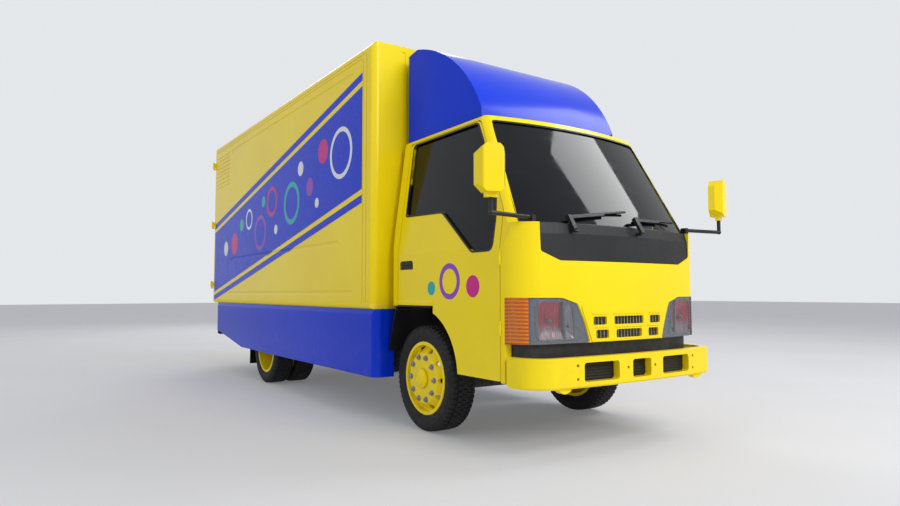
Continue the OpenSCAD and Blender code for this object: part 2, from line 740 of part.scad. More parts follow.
// Front view of the windscreen
SCREEN = [[-776, ledge_z + 8, 12], [776, ledge_z + 8, 12], [686, roof_split - 18, 40], [-686, roof_split - 18, 40]];
module screen_frame() {
  color(yellow) difference() {
    intersection() {
      cab_shell();
      block([-1000, -2000, ledge_z], [1000, -300, roof_split]);
    }
    door_holes();
    front_slab(-2000, -300) outline(SCREEN);
  }
}
module windscreen() {
  color(black) intersection() {
    cab_shell(8, 8 + glass_t);
    front_slab(-2000, -300) outline(inset(SCREEN, seam));
  }
}

// Front view outlines of the lamps, the grille and the black panel, for the left half
lamp_z = [668, 942];
lamp_split = 767;
lamp_back = 930;
LAMP = [[337, lamp_z[0], 12], [1000, lamp_z[0], 0], [1000, lamp_z[1], 0], [545, lamp_z[1] - 3, 90], [430, 903, 30],
  [377, 791, 0]];
grille_z = [672, 895];
module grille_outline() {
  rise = 84;
  outline([[-grille_hw, grille_z[0], 12], [grille_hw, grille_z[0], 12], [grille_hw + rise, grille_z[1], 16],
    [-grille_hw - rise, grille_z[1], 16]]);
}
COWL_SIDE = [[558, 1160], [698, 1214], [705, ledge_z]];
module cowl_outline(rise) {
  low = COWL_SIDE[1];
  high = COWL_SIDE[2];
  foot = COWL_SIDE[0];
  lean = (high[0] - low[0]) / (high[1] - low[1]);
  wide = high[0] + lean * rise;
  top = high[1] + rise;
  outline([[-foot[0], foot[1], 20], [foot[0], foot[1], 20], [low[0], low[1], 20], [wide, top, 0], [-wide, top, 0],
    [-low[0], low[1], 20]]);
}
// Folds of the black panel: columns are height, set-back, lean
COWL = [[1160, 2, 3], [1327, 10.8, 17]];
cowl_t = 20;
cowl_cap = 12;
module cowl_fold(c, in) {
  translate([0, c[1] - cab_front, c[0]]) rotate([-c[2], 0, 0]) translate([0, 0, -900]) linear_extrude(1800)
    intersection() {
      translate([-1000, -300]) square(2000);
      translate([0, bow_r]) circle(r = bow_r - in, $fn = 360);
    }
}
module cowl_form(in) {
  intersection() {
    cowl_fold(COWL[0], in);
    cowl_fold(COWL[1], in);
  }
}
// Core that the black panel lies on
module cowl_core() {
  intersection() {
    cowl_form(cowl_t);
    block([-1000, -2000, 900], [1000, 1000, ledge_z - cowl_cap]);
  }
}
module cowl_panel() {
  color(black) difference() {
    intersection() {
      cowl_form(0);
      front_slab(-2000, -cowl_rear) cowl_outline(0);
    }
    cowl_core();
  }
}
cowl_rear = 950;
module cab_front_panel() {
  color(yellow) {
    difference() {
      intersection() {
        difference() {
          front_form(0);
          front_form(wall);
        }
        block([-1000, -2000, cab_low], [1000, -door_front - door_gap, ledge_z]);
      }
      block([-1000, -2000, 0], [1000, -lamp_back, lamp_z[0] + 0.5]);
      both_sides() front_slab(-2000, -lamp_back) outline(LAMP);
      front_slab(-2000, -300) grille_outline();
      difference() {
        front_slab(-2000, -cowl_rear) cowl_outline(20);
        cowl_core();
      }
      both_sides() for (z = CAB_HINGES) translate([cab_hinge[0], cab_hinge[1], z])
        cylinder(r = barrel_r + hinge_play, h = barrel_h + 4, center = true);
    }
    // Hinge pins between their lugs
    both_sides() for (z = CAB_HINGES) translate([cab_hinge[0], cab_hinge[1], z]) {
      cylinder(r = cab_pin_r, h = barrel_h + 4 + 2 * hinge_lug_h, center = true);
      for (s = [-1, 1]) translate([0, 0, s * (barrel_h + 4 + hinge_lug_h) / 2])
        cylinder(r = barrel_r, h = hinge_lug_h, center = true);
    }
  }
}
// Zone of one headlamp in front view
module headlamp_zone() {
  intersection() {
    front_slab(-2000, -lamp_back - seam) outline(inset(LAMP, seam));
    block([0, -2000, 0], [lamp_split, 0, 2000]);
  }
}
lens_t = 6;
module headlamps() {
  color([0.75, 0.76, 0.78]) both_sides() intersection() {
    front_skin(2, 2 + lens_t);
    headlamp_zone();
  }
}
// Lamp housings behind the lenses, each with a squarish reflector recess
module lamp_bowls() {
  color([0.6, 0.61, 0.62]) both_sides() difference() {
    intersection() {
      front_skin(2 + lens_t + 4, wall);
      headlamp_zone();
    }
    intersection() {
      front_skin(0, wall - 8);
      front_slab(-2000, -lamp_back) outline([[438, 690, 36], [720, 690, 36], [720, 922, 36], [470, 922, 50]]);
    }
  }
}
module indicators() {
  color([0.9, 0.45, 0.02]) both_sides() intersection() {
    front_skin(0, wall);
    front_slab(-2000, -lamp_back - seam) outline(inset(LAMP, seam));
    block([lamp_split, -2000, 0], [1000, 0, 2000]);
  }
}
// Grille rows: columns are foot, height, middle of a side opening, its half width, half width of the middle opening
ROWS = [[690, 52, 240, 53, 120], [773, 50, 259, 56, 138]];
bar_pitch = 29;
function slot_hw(r, side) = side == 0 ? r[4] : r[3];
module grille_slots(grow) {
  for (r = ROWS, side = [-1, 0, 1]) translate([side * r[2], r[0]]) {
    hw = slot_hw(r, side) + grow;
    outline([[-hw, -grow, 10], [hw, -grow, 10], [hw, r[1] + grow, 10], [-hw, r[1] + grow, 10]]);
  }
}
module grille() {
  lip = [14, 8];
  color(yellow) {
    difference() {
      intersection() {
        front_skin(-6, 34);
        front_slab(-2000, -300) grille_outline();
      }
      front_slab(-2000, -300) grille_slots(0);
    }
    // Upright bars behind the face
    intersection() {
      front_skin(10, 30);
      front_slab(-2000, -300) for (r = ROWS, side = [-1, 0, 1]) {
        n = floor(slot_hw(r, side) / bar_pitch);
        for (k = [-n:n]) translate([side * r[2] + k * bar_pitch - 4, r[0] - 6]) square([8, r[1] + 12]);
      }
    }
    // Lip over each opening
    intersection() {
      front_skin(-12, 4);
      front_slab(-2000, -300) for (r = ROWS, side = [-1, 0, 1])
        translate([side * r[2] - slot_hw(r, side) - 8, r[0] + r[1] + lip[0]])
          square([2 * slot_hw(r, side) + 16, lip[1]]);
    }
  }
}

// Bumper that wraps the corners, with three openings and stepped edges
bumper_rear = 960;
module bumper_ring(in) {
  difference() {
    bowed_plan(bumper_hw, front_reach, -600, bumper_r, 0, bumper_bow_r, in);
    bowed_plan(bumper_hw, front_reach, -500, bumper_r, 0, bumper_bow_r, bumper_t);
    translate([-1000, -bumper_rear]) square(2000);
  }
}
// Openings: columns are left edge, right edge
BUMPER_SLOTS = [[-488, -204], [-86, 86], [204, 488]];
// Bolt holes: columns are distance from the middle, height
BUMPER_HOLES = [[537, 549], [537, 471], [126, 516]];
module front_bumper() {
  slot = [452, 563];
  step = [7, 9];
  bar = [480, 550];
  hook_x = 615;
  color(yellow) {
    difference() {
      union() {
        translate([0, 0, bumper_z]) linear_extrude(bumper_h) bumper_ring(step[0]);
        translate([0, 0, bumper_z + step[1]]) linear_extrude(bumper_h - 2 * step[1]) bumper_ring(0);
      }
      for (s = BUMPER_SLOTS) front_slab(-2000, -300) outline([
        [s[0], slot[0], 18], [s[1], slot[0], 18], [s[1], slot[1], 18], [s[0], slot[1], 18]]);
      both_sides() for (h = BUMPER_HOLES) translate([h[0], 0, h[1]]) bar_y(9, -2000, -bumper_rear - 100);
    }
    both_sides() {
      block([545, -front_reach + 40, bar[0]], [590, -1000, bar[1]]);
      block([rail_x - rail_flange, -1030, bar[1]], [rail_x, -970, rail_z]);
      translate([hook_x, 0, bumper_z + 35]) bar_y(64, -front_reach + 45, -front_reach + 85);
    }
    block([-590, -1030, bar[0]], [590, -970, bar[1]]);
  }
}

// Folded guards over and behind the front wheels
module front_mudguards() {
  t = 6;
  color(black) both_sides() side_slab(520, cab_hw + 14) outline([
    [-150, cab_base - t, 0], [318, cab_base - t, 10], [432, 534, 0], [432 + t, 534, 0], [322 + t, cab_base, 16],
    [-150, cab_base, 0]]);
}

// Air deflector: a curved front over the roof, open below and behind
module fairing_form(in) {
  profile_r = 1062;
  low = in > 0 ? 1900 : cab_top;
  rear = cab_rear + (in > 0 ? 40 : -10);
  intersection() {
    side_slab(-1000, 1000) intersection() {
      translate([516, 1812]) circle(r = profile_r - in, $fn = 240);
      outline([[-800, low, 0], [rear, low, 0], [rear, 2826 - in, 0], [262, 2856 - in, 0], [-800, 2856 - in, 0]]);
    }
    translate([0, 0, 1800]) linear_extrude(1500) intersection() {
      outline([[-712 + in, cab_rear + 100, 0], [-640 + in, -600, 40], [640 - in, -600, 40], [712 - in, cab_rear + 100, 0]]);
      translate([0, 2600 - 545]) circle(r = 2600 - in, $fn = 360);
    }
  }
}
module roof_fairing() {
  color(blue) difference() {
    fairing_form(0);
    fairing_form(28);
  }
}

// Wiper arms and blades that lie just ahead of the glass: columns are pivot, turn that follows the bow
WIPERS = [[-470, -3.2], [100, 7]];
wiper_rise = 6;
module wipers() {
  boss_z = 1348;
  boss_r = 11;
  color(black) for (w = WIPERS) {
    bow = pow(w[0] + 15, 2) / (2 * bow_r * cos(COWL[1][2]));
    face = COWL[1][1] - cab_front + tan(COWL[1][2]) * (boss_z - boss_r - COWL[1][0]) + bow;
    translate([w[0] + 15, 0, boss_z]) bar_y(boss_r, face - 40, face - 0.3);
    translate([0, screen_set - cab_front, screen_z]) rotate([-screen_rake, 0, 0])
      translate([w[0], w[0] * w[0] / (2 * screen_bow_r), 0]) {
        block([0, -46, -76], [30, -26, 44]);
        rotate([0, -wiper_rise, w[1]]) {
          block([4, -28, 26], [340, -16, 44]);
          block([60, -22, 42], [560, -10, 54]);
        }
      }
  }
}

// Mirror stalks: out from the shoulder and up
mirror_x = 1068;
mirror_y = -1095;
mirror_z = 1525;
mirror_depth = 98;
mirror_foot = 28;
module mirror_arms() {
  arm = 13;
  arm_z = 1412;
  root = [727, -1045];
  run = [mirror_x, mirror_y] - root;
  color(black) both_sides() {
    block([712, -1066, ledge_z], [742, -1022, ledge_z + 42]);
    translate([root[0], root[1], arm_z]) rotate([0, 0, atan2(run[1], run[0])]) bar_x(arm, 0, norm(run));
    translate([mirror_x, mirror_y, arm_z]) {
      sphere(r = arm + 3);
      cylinder(r = arm, h = mirror_z - mirror_foot - arm_z);
    }
  }
}
// Front view of a mirror head with cut corners, shrunk by the given rim
module mirror_outline(rim) {
  cut = 45 - rim * 0.4;
  w = mirror_w / 2 - rim;
  h = mirror_h - rim;
  outline([[cut - w, rim, 8], [w - cut, rim, 8], [w, rim + cut, 8], [w, h - cut, 8],
    [w - cut, h, 8], [cut - w, h, 8], [-w, h - cut, 8], [-w, rim + cut, 8]]);
}
module mirror_place() {
  both_sides() translate([mirror_x, mirror_y, mirror_z]) rotate([0, 0, mirror_toe]) children();
}
mirror_rim = 12;
mirror_set = 12;
module mirror_heads() {
  half = mirror_depth / 2;
  flare = 26;
  color(yellow) mirror_place() {
    difference() {
      intersection() {
        front_slab(-half, half) mirror_outline(0);
        linear_extrude(mirror_h) outline([[flare - mirror_w / 2, -half, 14], [mirror_w / 2 - flare, -half, 14],
          [mirror_w / 2 + 1, 6, 10], [mirror_w / 2 + 1, half + 1, 0], [-mirror_w / 2 - 1, half + 1, 0],
          [-mirror_w / 2 - 1, 6, 10]]);
      }
      front_slab(half - mirror_set, half + 10) mirror_outline(mirror_rim);
    }
    block([-38, -16, -mirror_foot], [38, 16, 4]);
  }
}
module mirror_glasses() {
  half = mirror_depth / 2;
  color([0.7, 0.75, 0.8]) mirror_place() front_slab(half - mirror_set, half - mirror_set + glass_t) mirror_outline(mirror_rim);
}

// Inside the cab
module dashboard() {
  color([0.16, 0.17, 0.19]) {
    intersection() {
      side_slab(-740, 740) outline([[-1200, 1130, 0], [-800, 1150, 40], [-730, 1280, 40], [-800, 1334, 40],
        [-1200, 1334, 0]]);
      front_form(wall);
    }
    // Column tube that the steering shaft turns in
    translate([column_x, column_y, column_z]) rotate([-wheel_tilt, 0, 0]) translate([0, 0, -330]) difference() {
      cylinder(r = 34, h = 230);
      translate([0, 0, 90]) cylinder(r = shaft_r + running, h = 200);
    }
  }
}
// Seats: columns are middle, half width
SEATS = [[-380, 250], [380, 250]];
module seats() {
  cushion_z = 1130;
  cushion_t = 130;
  back_y = 172;
  back_t = 110;
  back_top = 1830;
  color([0.2, 0.21, 0.24]) for (s = SEATS) {
    block([s[0] - s[1] + 40, -240, floor_top], [s[0] + s[1] - 40, back_y + 60, cushion_z + 20]);
    side_slab(s[0] - s[1], s[0] + s[1]) outline([[-320, cushion_z, 0], [back_y - 4, cushion_z, 0],
      [back_y - 4, cushion_z + cushion_t, 30], [-320, cushion_z + cushion_t, 50]]);
    side_slab(s[0] - s[1] + 10, s[0] + s[1] - 10) outline([[back_y, cushion_z - 30, 0],
      [back_y + back_t, cushion_z - 30, 0], [back_y + back_t, back_top, 40], [back_y, back_top, 50]]);
  }
}
wheel_tilt = 38;
column_x = 380;
column_y = -580;
column_z = 1460;
shaft_r = 20;
module steering_wheel() {
  color(black) translate([column_x, column_y, column_z]) rotate([-wheel_tilt, 0, 0]) {
    rotate_extrude() translate([200, 0]) circle(r = 15);
    for (a = [0, 120, 240]) rotate([0, 0, a + 30]) translate([0, -14, -22]) cube([200, 28, 10]);
    translate([0, 0, -60]) cylinder(r = 48, h = 50);
    translate([0, 0, -230]) cylinder(r = shaft_r, h = 180);
  }
}

// Box body
module box_form() {
  foot_r = 28;
  intersection() {
    front_slab(0, 6000) outline([[-box_hw, box_z, foot_r], [box_hw, box_z, foot_r], [box_hw, box_top, box_r],
      [-box_hw, box_top, box_r]]);
    translate([0, 0, box_z]) linear_extrude(3000) outline([[-box_hw, box_rear, 0], [-box_hw, box_front, box_r],
      [box_hw, box_front, box_r], [box_hw, box_rear, 0]]);
  }
}
portal_t = 60;
wall_rear = box_rear - portal_t;
skirt_hw = box_hw - skirt_set;
floor_z = box_z + box_floor_t;
// The walls stand on a shoulder below the deck and a little clear of it
floor_seat = floor_z - 6;
deck_gap = 2;
roof_under = box_top - box_t;
BEARERS = [620, 1100, 1580, 2060, 2540, 3560, 4040, 4520, 4900];
module box_floor() {
  deck_hw = box_hw - box_t - deck_gap;
  color(steel) {
    intersection() {
      box_form();
      block([-box_hw, box_front, box_z], [box_hw, wall_rear, floor_seat]);
    }
    block([-deck_hw, box_front + box_t + deck_gap, floor_seat - 1], [deck_hw, wall_rear - deck_gap, floor_z]);
    for (y = BEARERS) {
      both_sides() block([rail_x + 14, y - 20, box_z - 50], [skirt_hw - skirt_t, y + 20, box_z]);
    }
  }
}
module box_front_wall() {
  color(yellow) difference() {
    intersection() {
      box_form();
      block([-box_hw, box_front, floor_seat], [box_hw, box_front + box_t, roof_under]);
    }
    both_sides() block([690, box_front - 10, floor_seat - 10], [720, box_front + 5, roof_under + 10]);
  }
}
// Pressed grooves in the sides: columns are height, front end, rear end
SWAGES = [[box_z + 124, box_front + 349, box_rear - 750], [box_z + 544, box_front + 619, box_rear - 820],
  [box_top - 180, box_front + 349, box_rear - 750]];
swage_r = 30;
swage_depth = 8;
// Fine lines that follow the front and top edges: columns are distance from the front, distance from the top
EDGE_LINES = [[99, 64], [156, 92]];
line_w = 9;
line_depth = 4;
// Raised slats near the rear top corner
slats = 9;
slat_pitch = 50;
slat_z = box_top - 580;
slat_span = [box_rear - 620, box_rear - 75];
module edge_line(inset, top) {
  far = 2 * box_rear;
  difference() {
    outline([[box_front + inset, 0, 0], [far, 0, 0], [far, box_top - top, 0], [box_front + inset, box_top - top, 40]]);
    outline([[box_front + inset + line_w, -10, 0], [far + 10, -10, 0], [far + 10, box_top - top - line_w, 0],
      [box_front + inset + line_w, box_top - top - line_w, 40 - line_w]]);
  }
}
module box_sides() {
  color(yellow) both_sides() {
    difference() {
      intersection() {
        box_form();
        block([box_hw - box_t, box_front + box_t, floor_seat], [box_hw + 1, wall_rear, roof_under]);
      }
      for (w = SWAGES) translate([box_hw + swage_r - swage_depth, 0, w[0]]) {
        bar_y(swage_r, w[1], w[2]);
        for (e = [w[1], w[2]]) translate([0, e, 0]) sphere(r = swage_r);
      }
      for (e = EDGE_LINES) side_slab(box_hw - line_depth, box_hw + 10) edge_line(e[0], e[1]);
    }
    for (k = [0:slats - 1]) translate([box_hw, 0, slat_z + k * slat_pitch])
      front_slab(slat_span[0], slat_span[1]) polygon([[-4, 0], [8, 5], [8, 9], [-4, 36]]);
  }
}
module box_roof() {
  color(yellow) intersection() {
    box_form();
    block([-box_hw, box_front, roof_under], [box_hw, wall_rear, box_top]);
  }
}
// Door opening: width of a post, rise of the sill over the floor, depth of the header
post_w = 53;
sill_rise = 4;
header_h = 70;
portal = [box_hw - post_w, floor_z + sill_rise, box_top - header_h];
module rear_frame() {
  color(yellow) {
    difference() {
      intersection() {
        box_form();
        block([-box_hw, wall_rear, box_z], [box_hw, box_rear, box_top]);
      }
      block([-portal[0], wall_rear - 10, portal[1]], [portal[0], box_rear + 10, portal[2]]);
    }
    // Hinge pins on lugs that stand off the posts
    both_sides() for (z = HINGES) translate([box_hw + hinge_out, box_rear + hinge_back, z]) {
      translate([0, 0, -50]) cylinder(r = hinge_pin_r, h = 100);
      block([-hinge_out - 30, -hinge_back - 14, -50], [-3, -hinge_back + 0, -36]);
      block([-hinge_out, -hinge_back - 14, -50], [8, 8, -36]);
    }
  }
}
hinge_end = 180;
HINGES = [portal[1] + hinge_end, (portal[1] + portal[2]) / 2, portal[2] - hinge_end];
rod_x = 120;
ROD_GUIDES = [portal[1] + 100, portal[1] + 600, portal[2] - 860, portal[2] - 160];
hinge_pin_r = 8;
module rear_door_left() {
  gap = door_gap;
  strap_x = portal[0] - box_hw - hinge_out;
  color(yellow) difference() {
    union() {
      block([gap / 2, box_rear - rear_door_t, portal[1] + gap], [portal[0] - gap, box_rear, portal[2] - gap]);
      for (z = HINGES) translate([box_hw + hinge_out, box_rear + hinge_back, z]) {
        translate([0, 0, -34]) cylinder(r = 14, h = 80);
        block([strap_x - 160, -hinge_back - 1, -24], [strap_x, -hinge_back + 8, 36]);
        block([strap_x - 30, -hinge_back + 6, -24], [0, -hinge_back + 14, 36]);
        block([-14, -hinge_back + 6, -24], [0, 0, 36]);
      }
      // Lock rod with its guides
      translate([rod_x, box_rear + 16, portal[1] + 30]) cylinder(r = 12, h = portal[2] - portal[1] - 60);
      for (z = ROD_GUIDES) block([rod_x - 20, box_rear - 1, z], [rod_x + 20, box_rear + 16, z + 40]);
    }
    for (z = HINGES) translate([box_hw + hinge_out, box_rear + hinge_back, z - 60])
      cylinder(r = hinge_pin_r + running, h = 130);
  }
}
module rear_door_right() { mirror([1, 0, 0]) rear_door_left(); }

// Side skirts that turn in at the front, bevelled along the top
skirt_front = 450;
skirt_rear = 4834;
skirt_corner_r = 60;
skirt_turn = 168;
skirt_in = skirt_hw - skirt_turn;
module skirts() {
  bevel = [12, 40];
  color(blue) both_sides() difference() {
    intersection() {
      translate([0, 0, skirt_z]) linear_extrude(box_z - skirt_z) difference() {
        outline([[skirt_in, skirt_front, 0], [skirt_hw, skirt_front, skirt_corner_r], [skirt_hw, skirt_rear, 0],
          [skirt_in, skirt_rear, 0]]);
        outline([[skirt_in - 10, skirt_front + skirt_t, 0],
          [skirt_hw - skirt_t, skirt_front + skirt_t, skirt_corner_r - skirt_t],
          [skirt_hw - skirt_t, skirt_rear + 10, 0], [skirt_in - 10, skirt_rear + 10, 0]]);
      }
      side_slab(skirt_in - 100, skirt_hw + 100)
        outline([[skirt_front - 10, skirt_z - 10, 0], [skirt_rear - 1060, skirt_z + 5, 0],
          [skirt_rear + 10, skirt_z + 162, 0], [skirt_rear + 10, box_z + 10, 0], [skirt_front - 10, box_z + 10, 0]]);
    }
    front_slab(0, 2 * box_rear) polygon([[skirt_hw, box_z - bevel[1]], [skirt_hw + 20, box_z - bevel[1]],
      [skirt_hw + 20, box_z + 10], [skirt_hw - bevel[0] * 1.25, box_z + 10]]);
  }
}

// Moves a sub-part from the front axle's frame to the truck's own
module placed() {
  translate([0, shift_y, 0]) children();
}

placed() frame_rails();
placed() frame_crossmembers();
placed() front_axle();
placed() leaf_springs();
placed() rear_axle();
placed() drive_shaft();
placed() engine_block();
placed() fuel_tank();
placed() exhaust();
placed() rear_bumper();
placed() tail_lamps();
placed() knuckle_right();
placed() knuckle_left();
placed() tie_rod();
placed() front_tyre_right();
placed() front_rim_right();
placed() front_tyre_left();
placed() front_rim_left();
placed() rear_tyres_right();
placed() rear_rims_right();
placed() rear_tyres_left();
placed() rear_rims_left();
placed() cab_floor();
placed() cab_back_panel();
placed() cab_roof();
placed() screen_frame();
placed() cab_front_panel();
placed() cowl_panel();
placed() windscreen();
placed() door_right();
placed() door_left();
placed() door_glass_right();
placed() door_glass_left();
placed() door_handle_right();
placed() door_handle_left();
placed() dashboard();
placed() seats();
placed() steering_wheel();
placed() wipers();
placed() mirror_arms();
placed() mirror_heads();
placed() mirror_glasses();
placed() headlamps();
placed() lamp_bowls();
placed() indicators();
placed() grille();
placed() front_bumper();
placed() front_mudguards();
placed() roof_fairing();
placed() box_floor();
placed() box_front_wall();
placed() box_sides();
placed() box_roof();
placed() rear_frame();
placed() rear_door_right();
placed() rear_door_left();
placed() skirts();
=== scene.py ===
import bpy
import bmesh
import json
import math
from mathutils import Matrix, Vector


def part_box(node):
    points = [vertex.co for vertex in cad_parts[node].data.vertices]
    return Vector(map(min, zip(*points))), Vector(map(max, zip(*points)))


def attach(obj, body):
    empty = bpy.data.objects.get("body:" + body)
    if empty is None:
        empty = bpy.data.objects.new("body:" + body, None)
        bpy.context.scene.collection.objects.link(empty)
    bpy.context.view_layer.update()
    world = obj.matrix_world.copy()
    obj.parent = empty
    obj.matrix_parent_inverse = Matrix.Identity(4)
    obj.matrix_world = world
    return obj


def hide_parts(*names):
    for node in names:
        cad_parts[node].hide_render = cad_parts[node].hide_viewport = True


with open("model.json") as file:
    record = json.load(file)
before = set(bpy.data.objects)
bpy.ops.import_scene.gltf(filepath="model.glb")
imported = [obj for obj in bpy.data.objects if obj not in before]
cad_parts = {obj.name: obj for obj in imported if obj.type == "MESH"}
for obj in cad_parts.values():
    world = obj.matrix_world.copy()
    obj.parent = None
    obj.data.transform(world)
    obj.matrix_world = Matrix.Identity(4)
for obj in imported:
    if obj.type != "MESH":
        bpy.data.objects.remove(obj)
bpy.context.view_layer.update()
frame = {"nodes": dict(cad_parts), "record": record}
nodes = frame["nodes"]

# Places and surfaces of the truck, in metres, as the solids have them; stations run back from the front axle
tyre_low, tyre_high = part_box("front_tyre_right")
AXLE_Y = (tyre_low.y + tyre_high.y) / 2
AXLE_Z = 0.370
REAR_AXLE = 3.064
FRONT_TRACK, REAR_TWINS = 0.723, (0.588, 0.828)
CAB_SIDE, BELT_Z, SIDE_LEAN = 0.845, 1.25, 0.139
CAB_FRONT, FRONT_BOW = -1.140, 4.9
CORNER_X, CORNER_Y, CORNER_R = 0.645, -0.8984, 0.2
SCREEN_FRONT, SCREEN_Z, SCREEN_BOW, SCREEN_RAKE = -1.100, 1.4, 3.1, math.radians(29.8)
PILLAR_ROUND, PILLAR_EASE = 0.063, 0.17
BUMPER_FRONT, BUMPER_BOW = -1.240, 7.0
DRIVER_X = 0.380
BOX_X = 0.983
FLOOR_FRONT, FLOOR_SIDE, FLOOR_UNDER = 0.520, 0.940, 0.844
REAR_DOOR_Y, TAIL_LAMP_Y, REAR_BAR_Y = 5.020, 5.0862, 5.0895
SIDES = (("right", -1), ("left", 1))


def spot(x, y, z):
    """A point in the truck's frame from a station measured back from the front axle."""
    return Vector((x, y + AXLE_Y, z))


def between(low, high, k, count):
    """Step k of count on the way from low to high."""
    return low + (high - low) * k / count


def side_x(z):
    """Side of the cab, which leans in above the belt line."""
    return CAB_SIDE - SIDE_LEAN * max(0.0, z - BELT_Z)


def front_y(x):
    """Front face of the cab below the black panel: a shallow bow that turns into round corners."""
    bow = CAB_FRONT + FRONT_BOW - math.sqrt(FRONT_BOW ** 2 - x * x)
    over = abs(x) - CORNER_X
    if over < 0:
        return bow
    return max(bow, CORNER_Y - math.sqrt(max(CORNER_R ** 2 - over * over, 0.0)))


def screen_y(x, z):
    """Raked and bowed face of the windscreen, easing back at the rounded pillars."""
    sag = SCREEN_BOW - math.sqrt(SCREEN_BOW ** 2 - x * x)
    near = max(0.0, PILLAR_ROUND - (side_x(z) - abs(x)))
    raked = SCREEN_FRONT + sag / math.cos(SCREEN_RAKE) + math.tan(SCREEN_RAKE) * (z - SCREEN_Z)
    return raked + near * near / PILLAR_EASE


def bumper_y(x):
    return BUMPER_FRONT + BUMPER_BOW - math.sqrt(BUMPER_BOW ** 2 - x * x)


# Camera at the photograph's angle

SENSOR_WIDTH = 36.0
PHOTO_WIDTH, PHOTO_FOCUS = 900.0, 644.12

yaw, pitch, roll = (math.radians(a) for a in (34.458, 3.512, -0.094))
ahead = Vector((math.sin(yaw) * math.cos(pitch), math.cos(yaw) * math.cos(pitch), math.sin(pitch)))
level = Vector((math.cos(yaw), -math.sin(yaw), 0.0))
upright = level.cross(ahead)
rolled = math.cos(roll) * level + math.sin(roll) * upright
upright = math.cos(roll) * upright - math.sin(roll) * level
camera = bpy.data.objects.new("photo_camera", bpy.data.cameras.new("photo_camera"))
camera.data.sensor_width = SENSOR_WIDTH
camera.data.lens = SENSOR_WIDTH * PHOTO_FOCUS / PHOTO_WIDTH
aim = Matrix((rolled, upright, -ahead)).transposed().to_4x4()
camera.matrix_world = Matrix.Translation(spot(-3.257, -3.883, 0.971)) @ aim
bpy.context.scene.collection.objects.link(camera)
bpy.context.scene.camera = camera
bpy.context.scene.view_settings.view_transform = "Standard"

# Shader maths


class Value:
    """A socket that adds Math nodes when it is used in an expression."""

    def __init__(self, finish, socket):
        self.finish, self.socket = finish, socket

    def _math(self, operation, a, b=None):
        inputs = {0: a} if b is None else {0: a, 1: b}
        return self.finish.node("ShaderNodeMath", {"operation": operation}, inputs)

    def __add__(self, other):
        return self._math("ADD", self, other)

    def __radd__(self, other):
        return self._math("ADD", other, self)

    def __sub__(self, other):
        return self._math("SUBTRACT", self, other)

    def __rsub__(self, other):
        return self._math("SUBTRACT", other, self)

    def __mul__(self, other):
        return self._math("MULTIPLY", self, other)

    def __rmul__(self, other):
        return self._math("MULTIPLY", other, self)

    def __truediv__(self, other):
        return self._math("DIVIDE", self, other)

    def __rtruediv__(self, other):
        return self._math("DIVIDE", other, self)

    def wave(self):
        return self._math("SINE", self)

    def size(self):
        return self._math("ABSOLUTE", self)

    def most(self, other):
        return self._math("MAXIMUM", self, other)

    def ramp(self, low, high, to_low=0.0, to_high=1.0):
        """This value carried from low..high to to_low..to_high along a smooth curve."""
        span = {"Value": self, "From Min": low, "From Max": high, "To Min": to_low, "To Max": to_high}
        return self.finish.node("ShaderNodeMapRange", {"interpolation_type": "SMOOTHSTEP"}, span)


FINISHES = {}


class Finish:
    """One material, filed in FINISHES under its name, or the studio's air, made node by node."""

    def __init__(self, name, tree=None):
        self.place = None
        if tree is not None:
            self.tree = tree
            return
        self.material = bpy.data.materials.new(name)
        self.material.use_nodes = True
        FINISHES[name] = self.material
        self.tree = self.material.node_tree
        self.shader = self.tree.nodes["Principled BSDF"]

    def node(self, kind, settings=None, inputs=None, output=0):
        made = self.tree.nodes.new(kind)
        for key, value in (settings or {}).items():
            setattr(made, key, value)
        for key, value in (inputs or {}).items():
            self.feed(made.inputs[key], value)
        return Value(self, made.outputs[output])

    def feed(self, socket, value):
        if isinstance(value, Value):
            self.tree.links.new(value.socket, socket)
        else:
            socket.default_value = value

    def where(self):
        """Object coordinates, which stay with a piece when its body moves."""
        if self.place is None:
            self.place = self.node("ShaderNodeTexCoord", output="Object")
        return self.place

    def along(self, axis):
        return self.node("ShaderNodeSeparateXYZ", {}, {0: self.where()}, axis)

    def noise(self, scale, detail=3.0, rough=0.55, at=None):
        return self.node("ShaderNodeTexNoise", {},
                         {"Vector": at or self.where(), "Scale": scale, "Detail": detail, "Roughness": rough})

    def blend(self, share, a, b):
        """Colour a where share is 0 and colour b where it is 1, through the Mix node's colour sockets."""
        return self.node("ShaderNodeMix", {"data_type": "RGBA"}, {0: share, 6: a, 7: b}, 2)

    def stretch(self, x, y, z):
        return self.node("ShaderNodeVectorMath", {"operation": "MULTIPLY"}, {0: self.where(), 1: (x, y, z)})

    def bump(self, height, strength, distance):
        return self.node("ShaderNodeBump", {}, {"Height": height, "Strength": strength, "Distance": distance})

    def set(self, **sockets):
        for key, value in sockets.items():
            self.feed(self.shader.inputs[key.replace("_", " ")], value)
        return self.material


def colour(r, g, b):
    return (r, g, b, 1.0)


# Finishes

YELLOW = colour(0.95, 0.74, 0.006), colour(0.92, 0.70, 0.005)
YELLOW_EDGE = colour(0.93, 0.71, 0.005)
CHASSIS_BLACK = colour(0.014, 0.014, 0.015)
ROAD_FILM = colour(0.23, 0.19, 0.13)


def tone_drift(f, main, deep):
    """Paint whose tone drifts slowly over a panel."""
    return f.blend(f.noise(0.9, 2.0).ramp(0.35, 0.65), main, deep)


def orange_peel(f):
    """Fine ripple of sprayed paint and laid film."""
    return f.bump(f.noise(420.0, 1.0), 0.012, 0.0003)


